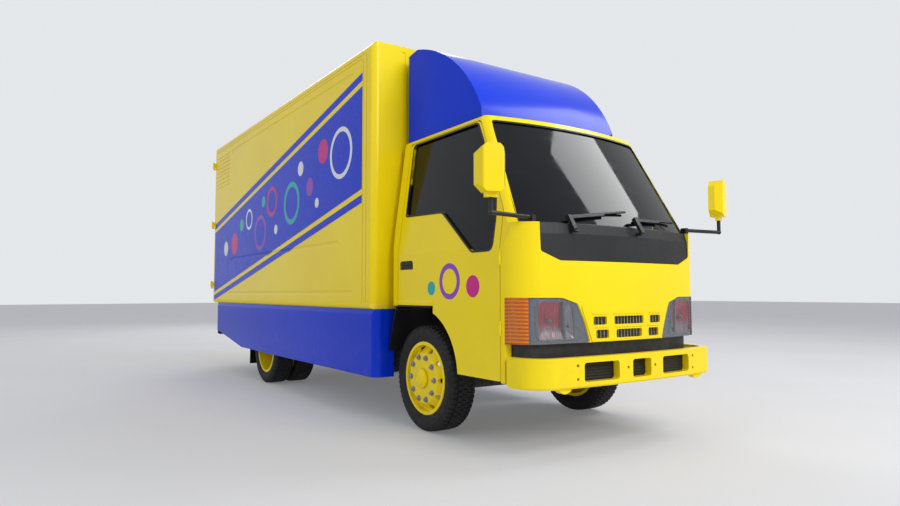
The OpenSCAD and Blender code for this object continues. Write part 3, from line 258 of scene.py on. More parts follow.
def coach_paint(name, main, deep, shine=0.20):
    """Sprayed coach paint: a slow drift of tone, fine orange peel under a clear coat, road film low down."""
    f = Finish(name)
    haze = f.noise(11.0, 5.0, 0.6).ramp(0.40, 0.85) * f.along("Z").ramp(0.30, 1.00, 0.10, 0.0)
    return f.set(Base_Color=f.blend(haze, tone_drift(f, main, deep), ROAD_FILM),
                 Roughness=f.noise(6.0, 3.0).ramp(0.2, 0.8, 0.18, 0.22) + haze, Normal=orange_peel(f),
                 Specular_IOR_Level=shine, Coat_Weight=0.4 * shine, Coat_Roughness=0.05)


def grille_paint_and_shade():
    """Yellow face whose set-back bars are sprayed grey; the same grey, deeper than 6.5 mm behind the face, is painted
    shade on the openings' walls.
    """
    f = Finish("grille_paint_and_shade")
    across = f.along("X")
    depth = f.along("Y") - across * across / (2 * FRONT_BOW) - (CAB_FRONT + AXLE_Y)
    # Grey from 6.5 to 9.5 mm behind the face: the set-back bars' paint, and painted shade in the openings
    inside = f.blend(f.noise(40.0).ramp(0.3, 0.7), colour(0.17, 0.16, 0.10), colour(0.26, 0.25, 0.17))
    return f.set(Base_Color=f.blend(depth.ramp(0.0065, 0.0095), tone_drift(f, *YELLOW), inside),
                 Roughness=f.noise(6.0, 3.0).ramp(0.2, 0.8, 0.18, 0.22), Normal=orange_peel(f),
                 Specular_IOR_Level=0.20, Coat_Weight=0.08, Coat_Roughness=0.05)


def satin_metal(name, main, worn, metallic, rough, grain, depth):
    """Painted, cast or bare metal: cloudy tone, pitting and a dusty film in patches."""
    f = Finish(name)
    patch = f.noise(7.0, 5.0, 0.65).ramp(0.42, 0.70)
    return f.set(Base_Color=f.blend(patch * 0.6, main, worn),
                 Metallic=metallic - patch * 0.3 * metallic,
                 Roughness=f.noise(26.0, 4.0).ramp(0.25, 0.75, rough, rough + 0.16) + patch * 0.08,
                 Normal=f.bump(f.noise(grain, 3.0), depth, 0.001))


def moulded_plastic(name, main, faded, rough=0.40):
    """Moulded plastic or rubber trim with a fine leather grain and a faded bloom."""
    f = Finish(name)
    bloom = f.noise(5.0, 4.0).ramp(0.45, 0.75)
    return f.set(Base_Color=f.blend(bloom * 0.5, main, faded),
                 Roughness=f.noise(60.0, 2.0).ramp(0.3, 0.7, rough, rough + 0.12),
                 Normal=f.bump(f.noise(900.0, 2.0), 0.16, 0.0004), Specular_IOR_Level=0.35)


def tyre_compound():
    """Tyre rubber: dark, dull, with fine mould texture and dry road dust in patches."""
    f = Finish("tyre_rubber")
    dust = f.noise(13.0, 5.0, 0.7).ramp(0.48, 0.80) * 0.35
    return f.set(Base_Color=f.blend(dust, colour(0.014, 0.014, 0.015), colour(0.075, 0.066, 0.054)),
                 Roughness=f.noise(45.0, 3.0).ramp(0.3, 0.7, 0.62, 0.82),
                 Normal=f.bump(f.noise(420.0, 3.0), 0.25, 0.0008), Specular_IOR_Level=0.3)


def tinted_glass():
    """Dark safety glass with a faint smear of dirt."""
    f = Finish("dark_glass")
    smear = f.noise(4.0, 5.0, 0.6, f.stretch(1.0, 1.0, 3.0)).ramp(0.45, 0.85)
    return f.set(Base_Color=f.blend(smear * 0.25, colour(0.004, 0.005, 0.007), colour(0.020, 0.023, 0.028)),
                 Roughness=smear * 0.08 + 0.04, Alpha=smear * 0.02 + 0.972, Specular_IOR_Level=0.20)


def silvered_glass():
    f = Finish("mirror_glass")
    smear = f.noise(14.0, 4.0).ramp(0.5, 0.9)
    return f.set(Base_Color=f.blend(smear * 0.3, colour(0.80, 0.83, 0.86), colour(0.55, 0.58, 0.60)),
                 Metallic=1.0, Roughness=smear * 0.15 + 0.03)


def lamp_lens(name, main, deep, clear, flutes, axis):
    """Moulded lens with fine flutes on its inside; its colour swings from main to deep with each flute as painted
    shade.
    """
    f = Finish(name)
    flute = (f.along(axis) * flutes).wave()
    # Painted shade: the deep tone falls on one side of each flute
    return f.set(Base_Color=f.blend(flute.ramp(-1.0, 1.0), main, deep), Alpha=flute * 0.04 + clear,
                 Roughness=f.noise(50.0).ramp(0.3, 0.7, 0.07, 0.13), Normal=f.bump(flute, 0.35, 0.0010),
                 Specular_IOR_Level=0.35, Coat_Weight=0.3, Coat_Roughness=0.03)


def woven_cloth():
    f = Finish("seat_cloth")
    threads = 2600.0
    weave = (f.along("X") * threads).wave() * ((f.along("Y") + f.along("Z")) * threads).wave()
    worn = f.noise(16.0, 4.0).ramp(0.4, 0.75)
    body = f.blend(worn, colour(0.040, 0.043, 0.052), colour(0.070, 0.074, 0.086))
    return f.set(Base_Color=f.blend(weave.ramp(-1.0, 1.0) * 0.35, body, colour(0.11, 0.12, 0.14)),
                 Roughness=worn * 0.08 + 0.86, Normal=f.bump(weave, 0.3, 0.0006), Sheen_Weight=0.25)


def deck_boards():
    """Planked load floor along the box, with grain and darker joints."""
    f = Finish("floor_wood")
    board = 0.118
    grain = f.noise(24.0, 6.0, 0.6, f.stretch(6.0, 0.35, 6.0))
    joint = (f.along("X") * (math.pi / board)).wave().size().ramp(0.0, 0.07, 1.0, 0.0)
    body = f.blend(grain.ramp(0.3, 0.7), colour(0.17, 0.085, 0.040), colour(0.28, 0.16, 0.080))
    boards = f.blend(joint * 0.8, body, colour(0.030, 0.018, 0.010))
    # The floor's side and front edges are painted with the box, and its bearers are black
    front_edge = f.along("Y").ramp(AXLE_Y + FLOOR_FRONT, AXLE_Y + FLOOR_FRONT + 0.004, 1.0, 0.0)
    rim = f.along("X").size().ramp(FLOOR_SIDE, FLOOR_SIDE + 0.006).most(front_edge)
    bearers = f.along("Z").ramp(FLOOR_UNDER, FLOOR_UNDER + 0.0035, 1.0, 0.0)
    return f.set(Base_Color=f.blend(bearers, f.blend(rim, boards, YELLOW_EDGE), CHASSIS_BLACK),
                 Roughness=grain.ramp(0.3, 0.7, 0.50, 0.68), Normal=f.bump(grain - joint * 2.0, 0.4, 0.0012))


def brushed_tank():
    f = Finish("tank_metal")
    brush = f.noise(60.0, 4.0, 0.6, f.stretch(1.0, 0.03, 1.0))
    stain = f.noise(8.0, 4.0).ramp(0.5, 0.8)
    return f.set(Base_Color=f.blend(stain * 0.4, colour(0.52, 0.53, 0.55), colour(0.30, 0.30, 0.30)),
                 Metallic=0.9, Roughness=brush.ramp(0.3, 0.7, 0.26, 0.40) + stain * 0.1,
                 Normal=f.bump(brush, 0.08, 0.0006))


def lamp_reflector():
    """Plated reflector, ruby towards the outside of the truck, silver in its inner band and at its foot."""
    f = Finish("lamp_reflector")
    inner = f.along("X").size().ramp(0.512, 0.524, 1.0, 0.0)
    streak = f.noise(30.0, 3.0, 0.5, f.stretch(4.0, 1.0, 0.4)).ramp(0.35, 0.65)
    ruby = f.blend(streak, colour(0.42, 0.010, 0.016), colour(0.20, 0.006, 0.010))
    silver = f.blend(streak, colour(0.25, 0.25, 0.27), colour(0.13, 0.11, 0.12))
    foot = (f.along("Z") + streak * 0.02).ramp(0.748, 0.800, 1.0, 0.0)
    return f.set(Base_Color=f.blend(inner.most(foot * 0.8), ruby, silver), Metallic=0.6,
                 Roughness=streak * 0.10 + 0.16, Normal=f.bump((f.along("X") * 420.0).wave(), 0.25, 0.0012))


def vinyl(name, main, deep):
    """Printed film on the panels: flat, slightly glossy, a little faded in places."""
    f = Finish(name)
    fade = f.noise(1.6, 3.0).ramp(0.35, 0.70)
    return f.set(Base_Color=f.blend(fade, main, deep), Roughness=f.noise(6.0).ramp(0.3, 0.7, 0.24, 0.30),
                 Normal=orange_peel(f), Specular_IOR_Level=0.13, Coat_Weight=0.05, Coat_Roughness=0.10)


coach_paint("yellow_paint", *YELLOW)
coach_paint("blue_paint", colour(0.001, 0.038, 0.66), colour(0.001, 0.033, 0.60), shine=0.12)
satin_metal("chassis_black", colour(0.012, 0.012, 0.013), colour(0.060, 0.052, 0.043), 0.0, 0.42, 160.0, 0.15)
satin_metal("bare_steel", colour(0.36, 0.37, 0.38), colour(0.17, 0.14, 0.11), 0.85, 0.30, 220.0, 0.12)
satin_metal("cast_metal", colour(0.060, 0.058, 0.056), colour(0.13, 0.105, 0.080), 0.35, 0.52, 90.0, 0.35)
brushed_tank()
tyre_compound()
moulded_plastic("black_plastic", colour(0.010, 0.010, 0.011), colour(0.024, 0.024, 0.025))
tinted_glass()
silvered_glass()
# The clear lens's pale base, about a tenth opaque, adds a painted pale sheen over the headlamps beside its real gloss
lamp_lens("clear_lamp", colour(0.50, 0.53, 0.58), colour(0.36, 0.39, 0.44), 0.10, 300.0, "X")
# The amber flutes have the pitch of the indicator's ribs, so their painted shade darkens the ribs' valleys
lamp_lens("amber_lamp", colour(0.80, 0.22, 0.002), colour(0.40, 0.075, 0.001), 0.95, 292.0, "Z")
lamp_lens("red_lamp", colour(0.46, 0.010, 0.010), colour(0.28, 0.006, 0.006), 0.94, 600.0, "X")
woven_cloth()
deck_boards()
grille_paint_and_shade()
lamp_reflector()
moulded_plastic("lamp_surround", colour(0.085, 0.098, 0.125), colour(0.13, 0.145, 0.175), 0.24)
moulded_plastic("seal_rubber", colour(0.006, 0.006, 0.007), colour(0.014, 0.014, 0.015), 0.30)
moulded_plastic("cab_trim", colour(0.050, 0.053, 0.060), colour(0.075, 0.078, 0.086), 0.55)
vinyl("blue_vinyl", colour(0.001, 0.038, 0.64), colour(0.001, 0.033, 0.59))
vinyl("white_vinyl", colour(0.80, 0.81, 0.82), colour(0.75, 0.76, 0.78))
vinyl("magenta_vinyl", colour(0.62, 0.028, 0.26), colour(0.55, 0.024, 0.23))
vinyl("purple_vinyl", colour(0.30, 0.080, 0.55), colour(0.26, 0.068, 0.49))
vinyl("teal_vinyl", colour(0.030, 0.42, 0.46), colour(0.026, 0.36, 0.40))
for part in frame["record"]["subparts"]:
    cad = nodes[part["node"]]
    cad.data.materials.clear()
    cad.data.materials.append(FINISHES[part["material_slot"]])
nodes["lamp_bowls"].data.materials[0] = FINISHES["lamp_surround"]
nodes["grille"].data.materials[0] = FINISHES["grille_paint_and_shade"]

# Mesh work


class Bench:
    """Faces gathered into one piece."""

    def __init__(self):
        self.mesh = bmesh.new()

    def grid(self, rows, ring=False, capped=False):
        """A skin over rows of points; ring closes each row, capped fills the first and last row."""
        made = [[self.mesh.verts.new(p) for p in row] for row in rows]
        wide = len(made[0])
        for one, two in zip(made, made[1:]):
            for i in range(wide if ring else wide - 1):
                j = (i + 1) % wide
                self.mesh.faces.new((one[i], one[j], two[j], two[i]))
        if capped:
            self.mesh.faces.new(list(reversed(made[0])))
            self.mesh.faces.new(made[-1])

    def lathe(self, profile, centre, axis, steps=32):
        """Rows of (radius, distance along the axis) turned about the axis through centre."""
        axis = Vector(axis).normalized()
        one = axis.orthogonal().normalized()
        two = axis.cross(one)
        turns = [2 * math.pi * k / steps for k in range(steps)]
        self.grid([[centre + axis * a + (one * math.cos(t) + two * math.sin(t)) * r for t in turns]
                   for r, a in profile], ring=True)

    def tube(self, path, radius, steps=10):
        """A round bar along a path of points, closed at both ends."""
        path = [Vector(p) for p in path]
        turns = [2 * math.pi * k / steps for k in range(steps)]
        rows, side = [], None
        for i, p in enumerate(path):
            run = (path[min(i + 1, len(path) - 1)] - path[max(i - 1, 0)]).normalized()
            side = run.orthogonal() if side is None else side - run * side.dot(run)
            side = side.normalized()
            other = run.cross(side)
            rows.append([p + (side * math.cos(t) + other * math.sin(t)) * radius for t in turns])
        self.grid(rows, ring=True, capped=True)

    def slab(self, low, high, edge=0.003):
        """A block between two corners with rounded edges."""
        low, high = Vector(low), Vector(high)
        span = high - low
        work = bmesh.new()
        bmesh.ops.create_cube(work, size=1.0)
        bmesh.ops.scale(work, vec=span, verts=work.verts)
        bmesh.ops.bevel(work, geom=list(work.edges), offset=min(edge, 0.45 * min(span)), segments=2,
                        affect="EDGES", profile=0.5)
        bmesh.ops.translate(work, vec=(low + high) / 2, verts=work.verts)
        self.take(work)

    def take(self, work):
        """Adds the faces of another working mesh, which is used up."""
        moved = bpy.data.meshes.new("moved")
        work.to_mesh(moved)
        work.free()
        self.mesh.from_mesh(moved)
        bpy.data.meshes.remove(moved)

    def bolt(self, centre, axis, size, washer=True):
        """Hexagon head on a washer with the end of its stud."""
        washer_rows = [(0.0, 0.0), (1.30, 0.0), (1.30, 0.16), (1.0, 0.26)]
        head_rows = [(1.0, 0.1), (1.0, 0.9), (0.86, 1.08), (0.0, 1.08)]
        stud_rows = [(0.5, 1.0), (0.5, 1.4), (0.40, 1.5), (0.0, 1.5)]
        for rows, steps in ((washer_rows, 20), (head_rows, 6), (stud_rows, 12)):
            if washer or rows is not washer_rows:
                self.lathe([(r * size, a * size) for r, a in rows], centre, axis, steps)

    def done(self, name, finish, body, slot, smooth=32.0, out=None):
        """Closes the piece with its finish and the body it rides on; slot is not used; out is an open sheet's outer
        side.
        """
        bmesh.ops.remove_doubles(self.mesh, verts=self.mesh.verts, dist=1e-6)
        if out is None:
            bmesh.ops.recalc_face_normals(self.mesh, faces=self.mesh.faces)
        else:
            self.mesh.normal_update()
            turned = [face for face in self.mesh.faces if face.normal.dot(Vector(out)) < 0]
            bmesh.ops.reverse_faces(self.mesh, faces=turned)
        data = bpy.data.meshes.new(name)
        self.mesh.to_mesh(data)
        self.mesh.free()
        data.polygons.foreach_set("use_smooth", [True] * len(data.polygons))
        data.set_sharp_from_angle(angle=math.radians(smooth))
        data.materials.append(FINISHES[finish])
        piece = bpy.data.objects.new(name, data)
        bpy.context.scene.collection.objects.link(piece)
        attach(piece, body)
        return piece


def rounded(rows, grow=0.0, steps=6):
    """Points round an outline of (u, v, radius) rows moved outward by grow, with its corners as arcs."""
    points, count = [], len(rows)
    for i, (u, v, radius) in enumerate(rows):
        p = Vector((u, v))
        back = (Vector(rows[i - 1][:2]) - p).normalized()
        on = (Vector(rows[(i + 1) % count][:2]) - p).normalized()
        half = math.acos(max(-1.0, min(1.0, back.dot(on)))) / 2
        side = 1 if on.x * back.y - on.y * back.x > 0 else -1
        middle = (back + on).normalized()
        p = p - side * middle * grow / math.sin(half)
        if radius == 0:
            points.append(p)
            continue
        r = max(radius + side * grow, 0.001)
        centre = p + middle * r / math.sin(half)
        first, last = back * r / math.tan(half) + p - centre, on * r / math.tan(half) + p - centre
        sweep = math.atan2(first.x * last.y - first.y * last.x, first.dot(last))
        for k in range(steps + 1):
            c, s = math.cos(sweep * k / steps), math.sin(sweep * k / steps)
            points.append(centre + Vector((first.x * c - first.y * s, first.x * s + first.y * c)))
    return points


def outlines(rows, grows, gap=0.04):
    """The same outline at several offsets, cut into matching points no further apart than gap."""
    loops = [rounded(rows, grow) for grow in grows]
    cut = [[] for _ in loops]
    count = len(loops[0])
    for i in range(count):
        j = (i + 1) % count
        parts = max(1, math.ceil(max((loop[j] - loop[i]).length for loop in loops) / gap))
        for loop, points in zip(loops, cut):
            points.extend(loop[i].lerp(loop[j], k / parts) for k in range(parts))
    return cut


# Wheels: road tyres with ribs and shoulder lugs, nuts, hub caps and valves

# Half of a tyre's section from its bead to its tread: radius and distance from the middle
TYRE_SECTION = [(0.2415, 0.0795), (0.2530, 0.0840), (0.2600, 0.0900), (0.2660, 0.0935), (0.2675, 0.0955),
                (0.2710, 0.0958), (0.2725, 0.0962), (0.2900, 0.1015), (0.3080, 0.1040), (0.3180, 0.1038),
                (0.3195, 0.1047), (0.3225, 0.1045), (0.3240, 0.1030), (0.3360, 0.0995), (0.3480, 0.0935),
                (0.3560, 0.0880), (0.3600, 0.0820), (0.3610, 0.0600)]
TYRE_CROWN, TYRE_BORE = (0.3612, 0.0), [(0.2415, 0.0795), (0.2440, 0.0), (0.2415, -0.0795)]
TREAD_LUGS, TREAD_FOOT, TREAD_TOP = 60, 0.3590, 0.3698
# A shoulder lug's section: distance from the middle and radius
SHOULDER_LUG = [(0.0585, 0.3590), (0.0600, 0.3686), (0.0840, 0.3668), (0.0915, 0.3590), (0.0968, 0.3455),
                (0.0950, 0.3430), (0.0800, 0.3570)]
# Each rib's distance from the middle, half width and shift in lugs
TREAD_RIBS = [(-0.0345, 0.0190, 0.0), (0.0, 0.0200, 0.5), (0.0345, 0.0190, 0.0)]


def tread_block(bench, centre, turn, width, section, skew):
    """One block of tread over a section of (distance along the axle, radius) rows, lower at its two ends."""
    drop, ease = 0.0030, 0.006
    rows = []
    for t, lower in ((-width / 2, drop), (-width / 2 + ease, 0.0), (width / 2 - ease, 0.0), (width / 2, drop)):
        row = []
        for k, (a, r) in enumerate(section):
            if 0 < k < len(section) - 1:
                r -= lower
            at = turn + t + skew * a
            row.append(centre + Vector((a, r * math.cos(at), r * math.sin(at))))
        rows.append(row)
    bench.grid(rows, ring=True, capped=True)


def road_tyre(bench, centre):
    """One tyre about an axle along X: carcass with moulded rings, three ribs and two rows of shoulder lugs."""
    far = [(r, -a) for r, a in TYRE_SECTION]
    near = TYRE_SECTION[::-1]
    bench.lathe(far + [TYRE_CROWN] + near + TYRE_BORE, centre, (1, 0, 0), 96)
    step = 2 * math.pi / TREAD_LUGS
    for k in range(TREAD_LUGS):
        turn = k * step
        for s in (-1, 1):
            shoulder = [(s * a, r) for a, r in SHOULDER_LUG]
            tread_block(bench, centre, turn + (s + 1) * step / 4, 0.070, shoulder, 0.25 * s)
        for a, w, shift in TREAD_RIBS:
            rib = [(a - w, TREAD_FOOT), (a - w + 0.0012, TREAD_TOP), (a + w - 0.0012, TREAD_TOP), (a + w, TREAD_FOOT)]
            tread_block(bench, centre, turn + shift * step, 0.088, rib, 0.5)


# Axle, body, station, face under the nuts, nuts, hub cap's face and radius, valve's place, hub cap's finish
WHEEL_TRIM = (("front", "front_wheel_", 0.0, 0.827, 10, 0.843, 0.062, 0.770, "yellow_paint"),
              ("rear", "rear_wheels_", REAR_AXLE, 0.720, 8, 0.818, 0.078, 0.830, "cast_metal"))
NUT_CIRCLE = 0.150


def wheel_trim(side, s, axle, body, station, nut_face, nut_count, hub_face, hub_r, valve_x, cap_finish):
    def on_wheel(x, radius, turn):
        return spot(s * x, station + radius * math.cos(turn), AXLE_Z + radius * math.sin(turn))

    def on_rim(x, dy, dz):
        return spot(s * (valve_x + x), station + dy, AXLE_Z + dz)

    nuts = Bench()
    for k in range(nut_count):
        nuts.bolt(on_wheel(nut_face, NUT_CIRCLE, 2 * math.pi * k / nut_count), (s, 0, 0), 0.0165)
    nuts.done("%s_wheel_nuts_%s" % (axle, side), "bare_steel", body + side, "bare_steel")
    cap = Bench()
    cap.lathe([(hub_r + 0.006, -0.010), (hub_r + 0.006, 0.004), (hub_r - 0.002, 0.009), (hub_r - 0.012, 0.010),
               (hub_r - 0.016, 0.016), (hub_r * 0.45, 0.022), (hub_r * 0.40, 0.019), (0.0, 0.019)],
              spot(s * hub_face, station, AXLE_Z), (s, 0, 0), 40)
    for k in range(6):
        cap.bolt(on_wheel(hub_face + 0.011, hub_r - 0.020, math.pi * (2 * k + 1) / 6), (s, 0, 0), 0.0055, False)
    cap.done("%s_hub_cap_%s" % (axle, side), cap_finish, body + side, cap_finish)
    valve = Bench()
    valve.tube([on_rim(-0.030, 0.06, 0.222), on_rim(0.0, 0.058, 0.216), on_rim(0.022, 0.055, 0.206)], 0.0045, 8)
    valve.lathe([(0.0062, 0.0), (0.0062, 0.012), (0.0045, 0.014), (0.0, 0.014)],
                on_rim(0.020, 0.055, 0.2065), (s, 0, -0.35), 12)
    valve.done("%s_valve_%s" % (axle, side), "seal_rubber", body + side, "black_plastic")


def wheels():
    for side, s in SIDES:
        single = Bench()
        road_tyre(single, spot(s * FRONT_TRACK, 0, AXLE_Z))
        tyre = single.done("front_road_tyre_" + side, "tyre_rubber", "front_wheel_" + side, "tyre_rubber")
        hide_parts("front_tyre_" + side)
        twins = Bench()
        for x in REAR_TWINS:
            road_tyre(twins, spot(s * x, REAR_AXLE, AXLE_Z))
        tyres = twins.done("rear_road_tyres_" + side, "tyre_rubber", "rear_wheels_" + side, "tyre_rubber")
        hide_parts("rear_tyres_" + side)
        for trim in WHEEL_TRIM:
            wheel_trim(side, s, *trim)


# Glass seals

DOOR_WINDOW = [(-0.814, 1.234, 0.038), (-0.611, 1.234, 0.050), (-0.221, 1.528, 0.100), (0.266, 1.545, 0.014),
               (0.274, 2.084, 0.024), (-0.528, 2.084, 0.045), (-0.607, 1.950, 0.0), (-0.804, 1.550, 0.070),
               (-0.819, 1.430, 0.0)]
SCREEN = [(-0.776, 1.393, 0.012), (0.776, 1.393, 0.012), (0.686, 2.089, 0.040), (-0.686, 2.089, 0.040)]


def seal_lines(glass, tuck):
    """A seal's lines round a glass with their rise over the panel; the last tucks in beside the glass."""
    outer, lip, inner = outlines(glass, (0.013, 0.010, 0.0))
    return (outer, -0.001), (outer, 0.0012), (lip, 0.0024), (inner, 0.0020), (inner, -tuck)


def glass_seals():
    for side, s in SIDES:
        seal = Bench()
        seal.grid([[spot(s * (side_x(p.y) + rise), p.x, p.y) for p in line]
                   for line, rise in seal_lines(DOOR_WINDOW, 0.0165)], ring=True)
        seal.done("door_window_seal_" + side, "seal_rubber", "cab_door_" + side, "black_plastic")
    seal = Bench()
    seal.grid([[spot(p.x, screen_y(p.x, p.y) - rise, p.y) for p in line]
               for line, rise in seal_lines(SCREEN, 0.0100)], ring=True)
    seal.done("windscreen_seal", "seal_rubber", "truck_body", "black_plastic")


# Front lamps, grille and bumper

HEADLAMP = [(0.442, 0.693, 0.030), (0.718, 0.693, 0.030), (0.718, 0.920, 0.045), (0.500, 0.920, 0.055),
            (0.448, 0.880, 0.030)]
LAMP_DIVIDER = [Vector(p) for p in ((0.512, 0.695), (0.524, 0.695), (0.536, 0.918), (0.524, 0.918))]
# A bulb's profile: share of its radius and distance out of the reflector
BULB = [(1.25, 0.0), (1.25, 0.006), (1.0, 0.008), (1.0, 0.012), (0.85, 0.018), (0.45, 0.022), (0.0, 0.0225)]


def headlamp(side, s):
    def behind_face(line, depth):
        return [spot(s * p.x, front_y(p.x) + depth, p.y) for p in line]

    bowl = Bench()
    rim, step, deep, floor = outlines(HEADLAMP, (0.0, -0.006, -0.035, -0.085), 0.02)
    heart = sum(floor, Vector((0, 0))) / len(floor)
    lines = ((rim, 0.0120), (step, 0.0150), (step, 0.0190), (deep, 0.0310), (floor, 0.0385),
             ([heart] * len(floor), 0.0392))
    bowl.grid([behind_face(line, depth) for line, depth in lines], ring=True)
    bowl.done("headlamp_reflector_" + side, "lamp_reflector", "truck_body", "tank_metal", out=(0, -1, 0))

    bezel = Bench()
    outer, crest, inner = outlines(HEADLAMP, (0.007, 0.003, -0.003), 0.02)
    lines = (outer, 0.0120), (outer, 0.0100), (crest, 0.0085), (inner, 0.0100), (inner, 0.0180)
    bezel.grid([behind_face(line, depth) for line, depth in lines], ring=True)
    bezel.grid([behind_face(LAMP_DIVIDER, depth) for depth in (0.0100, 0.0250)], ring=True, capped=True)
    bezel.done("headlamp_bezel_" + side, "lamp_surround", "truck_body", "tank_metal")

    bulbs = Bench()
    for x, z, r in ((0.622, 0.800, 0.012), (0.482, 0.770, 0.009)):
        bulbs.lathe([(share * r, a) for share, a in BULB], spot(s * x, front_y(x) + 0.0375, z), (0, -1, 0), 28)
    bulbs.done("headlamp_bulbs_" + side, "lamp_surround", "truck_body", "clear_lamp")


def indicator_ribs(side, s):
    """Wavy moulded ribs of the amber lens, which turns the cab's corner."""
    ribs, rib_rows, columns = 12, 6, 24
    lens = Bench()
    rows = []
    for k in range(ribs * rib_rows + 1):
        z = between(0.676, 0.934, k, ribs * rib_rows)
        row = []
        for j in range(columns + 1):
            t = math.radians(between(39.0, 79.5, j, columns))
            swell = abs(math.sin(math.pi * k / rib_rows)) * min(1.0, min(j, columns - j) / 3.0)
            reach = CORNER_R + 0.0003 + 0.0042 * swell + 0.0008 * math.sin(j * 0.9 + 2.0 * k) * swell
            row.append(spot(s * (CORNER_X + reach * math.sin(t)), CORNER_Y - reach * math.cos(t), z))
        rows.append(row)
    lens.grid(rows)
    lens.done("indicator_ribs_" + side, "amber_lamp", "truck_body", "amber_lamp", smooth=60.0, out=(s * 0.8, -0.6, 0))


def lamps():
    for side, s in SIDES:
        headlamp(side, s)
        indicator_ribs(side, s)


def ribbed_backing(name, finish, face_y, heights, half_widths, rows, half, depth, rib):
    """A sheet behind openings that follows the face in front of it, with a rib on every other row."""
    sheet = Bench()
    lines = []
    for k in range(rows + 1):
        z, wide = between(*heights, k, rows), between(*half_widths, k, rows)
        across = [wide * (j / half - 1) for j in range(2 * half + 1)]
        lines.append([spot(x, face_y(x) + depth - rib * (k % 2), z) for x in across])
    sheet.grid(lines)
    sheet.done(name, finish, "truck_body", "black_plastic", out=(0, -1, 0))


def front_end():
    ribbed_backing("grille_backing", "lamp_surround", front_y, (0.680, 0.870), (0.300, 0.360), 24, 20, 0.047, 0.004)
    ribbed_backing("bumper_slot_backing", "black_plastic", bumper_y, (0.440, 0.574), (0.520, 0.520), 16, 24,
                   0.050, 0.005)
    bolts = Bench()
    for x, z in ((-0.537, 0.549), (-0.537, 0.471), (0.537, 0.549), (0.537, 0.471), (-0.126, 0.516), (0.126, 0.516)):
        bolts.bolt(spot(x, bumper_y(x) + 0.012, z), (0, -1, 0), 0.0058)
    bolts.done("bumper_bolts", "chassis_black", "truck_body", "chassis_black")


# Livery: diagonal bands and plain ring and dot shapes on film, laid into the pressed grooves

# Each groove's height, front end and rear end
GROOVES = [(0.970, 0.830, 4.270), (1.390, 1.100, 4.200), (2.750, 0.830, 4.270)]
GROOVE_R, GROOVE_RISE = 0.030, 0.0255
BAND_FRONT, BAND_REAR = 0.655, 4.985
BAND_LIFT, SHAPE_LIFT = 0.0008, 0.0014
# Each band's upper and lower edge: height at the front end and fall per metre
BANDS = [((2.722, 0.1945), (2.657, 0.1945)), ((2.612, 0.1945), (1.787, 0.185)), ((1.742, 0.185), (1.677, 0.185))]
# Rings and dots strewn over the broad band: station, height over the band's middle, outer radius, inner radius
SHAPES = {
    "white": [(1.05, 0.02, 0.220, 0.180), (1.95, 0.20, 0.070, 0.0), (2.62, -0.20, 0.050, 0.0),
              (3.52, 0.16, 0.120, 0.090), (4.45, 0.05, 0.090, 0.0), (1.55, -0.25, 0.045, 0.0)],
    "magenta": [(1.42, 0.17, 0.110, 0.0), (2.75, 0.13, 0.160, 0.120), (4.08, 0.02, 0.130, 0.0)],
    "purple": [(3.12, -0.10, 0.195, 0.150), (1.72, -0.05, 0.085, 0.0)],
    "teal": [(2.18, -0.06, 0.210, 0.160), (3.02, 0.21, 0.060, 0.0), (3.80, 0.17, 0.075, 0.0)],
}
# The same on the doors: tone, station, height, outer radius, inner radius
DOOR_SHAPES = [("purple", -0.36, 1.045, 0.120, 0.084), ("magenta", -0.62, 1.010, 0.070, 0.0),
               ("teal", -0.14, 1.000, 0.048, 0.0)]


def groove_depth(y, z):
    """How far the film dips where it is stretched over a pressed groove."""
    for height, front, rear in GROOVES:
        off = math.hypot(z - height, max(front - y, 0.0, y - rear))
        if off < GROOVE_R:
            return max(0.0, math.sqrt(GROOVE_R ** 2 - off * off) - GROOVE_RISE)
    return 0.0


def on_box(s, lift, y, z):
    return spot(s * (BOX_X + lift - groove_depth(y, z)), y, z)


def on_door(s, lift, y, z):
    return spot(s * (CAB_SIDE + lift), y, z)


def edge_z(edge, y):
    return edge[0] - edge[1] * (y - BAND_FRONT)


def bands():
    columns, row_height = 120, 0.0075
    for side, s in SIDES:
        film = Bench()
        for top, foot in BANDS:
            tall = max(4, round((top[0] - foot[0]) / row_height))
            rows = []
            for k in range(tall + 1):
                row = []
                for j in range(columns + 1):
                    y = between(BAND_FRONT, BAND_REAR, j, columns)
                    row.append(on_box(s, BAND_LIFT, y, between(edge_z(foot, y), edge_z(top, y), k, tall)))
                rows.append(row)
            film.grid(rows)
        film.done("livery_bands_" + side, "blue_vinyl", "truck_body", "blue_paint", out=(s, 0, 0))


def ring_shape(bench, panel, s, lift, y, z, outer, inner, steps=56):
    """A ring, or a dot where the inner radius is 0, laid on a panel."""
    turns = [2 * math.pi * k / steps for k in range(steps)]
    radii = [outer, inner] if inner > 0 else [outer, outer * 0.5, 0.0]
    bench.grid([[panel(s, lift, y + r * math.cos(t), z + r * math.sin(t)) for t in turns] for r in radii], ring=True)


def shapes():
    broad_top, broad_foot = BANDS[1]
    for side, s in SIDES:
        for tone, rows in SHAPES.items():
            film = Bench()
            for y, up, outer, inner in rows:
                middle = (edge_z(broad_top, y) + edge_z(broad_foot, y)) / 2 + up
                ring_shape(film, on_box, s, SHAPE_LIFT, y, middle, outer, inner)
            film.done("livery_%s_shapes_%s" % (tone, side), tone + "_vinyl", "truck_body", "blue_paint", out=(s, 0, 0))
        for tone, y, z, outer, inner in DOOR_SHAPES:
            film = Bench()
            ring_shape(film, on_door, s, 0.0006, y, z, outer, inner)
            name = "door_%s_%s_%s" % (tone, "ring" if inner else "dot", side)
            film.done(name, tone + "_vinyl", "cab_door_" + side, "yellow_paint", out=(s, 0, 0))


# Rear doors, tail lamps, reflectors and flaps

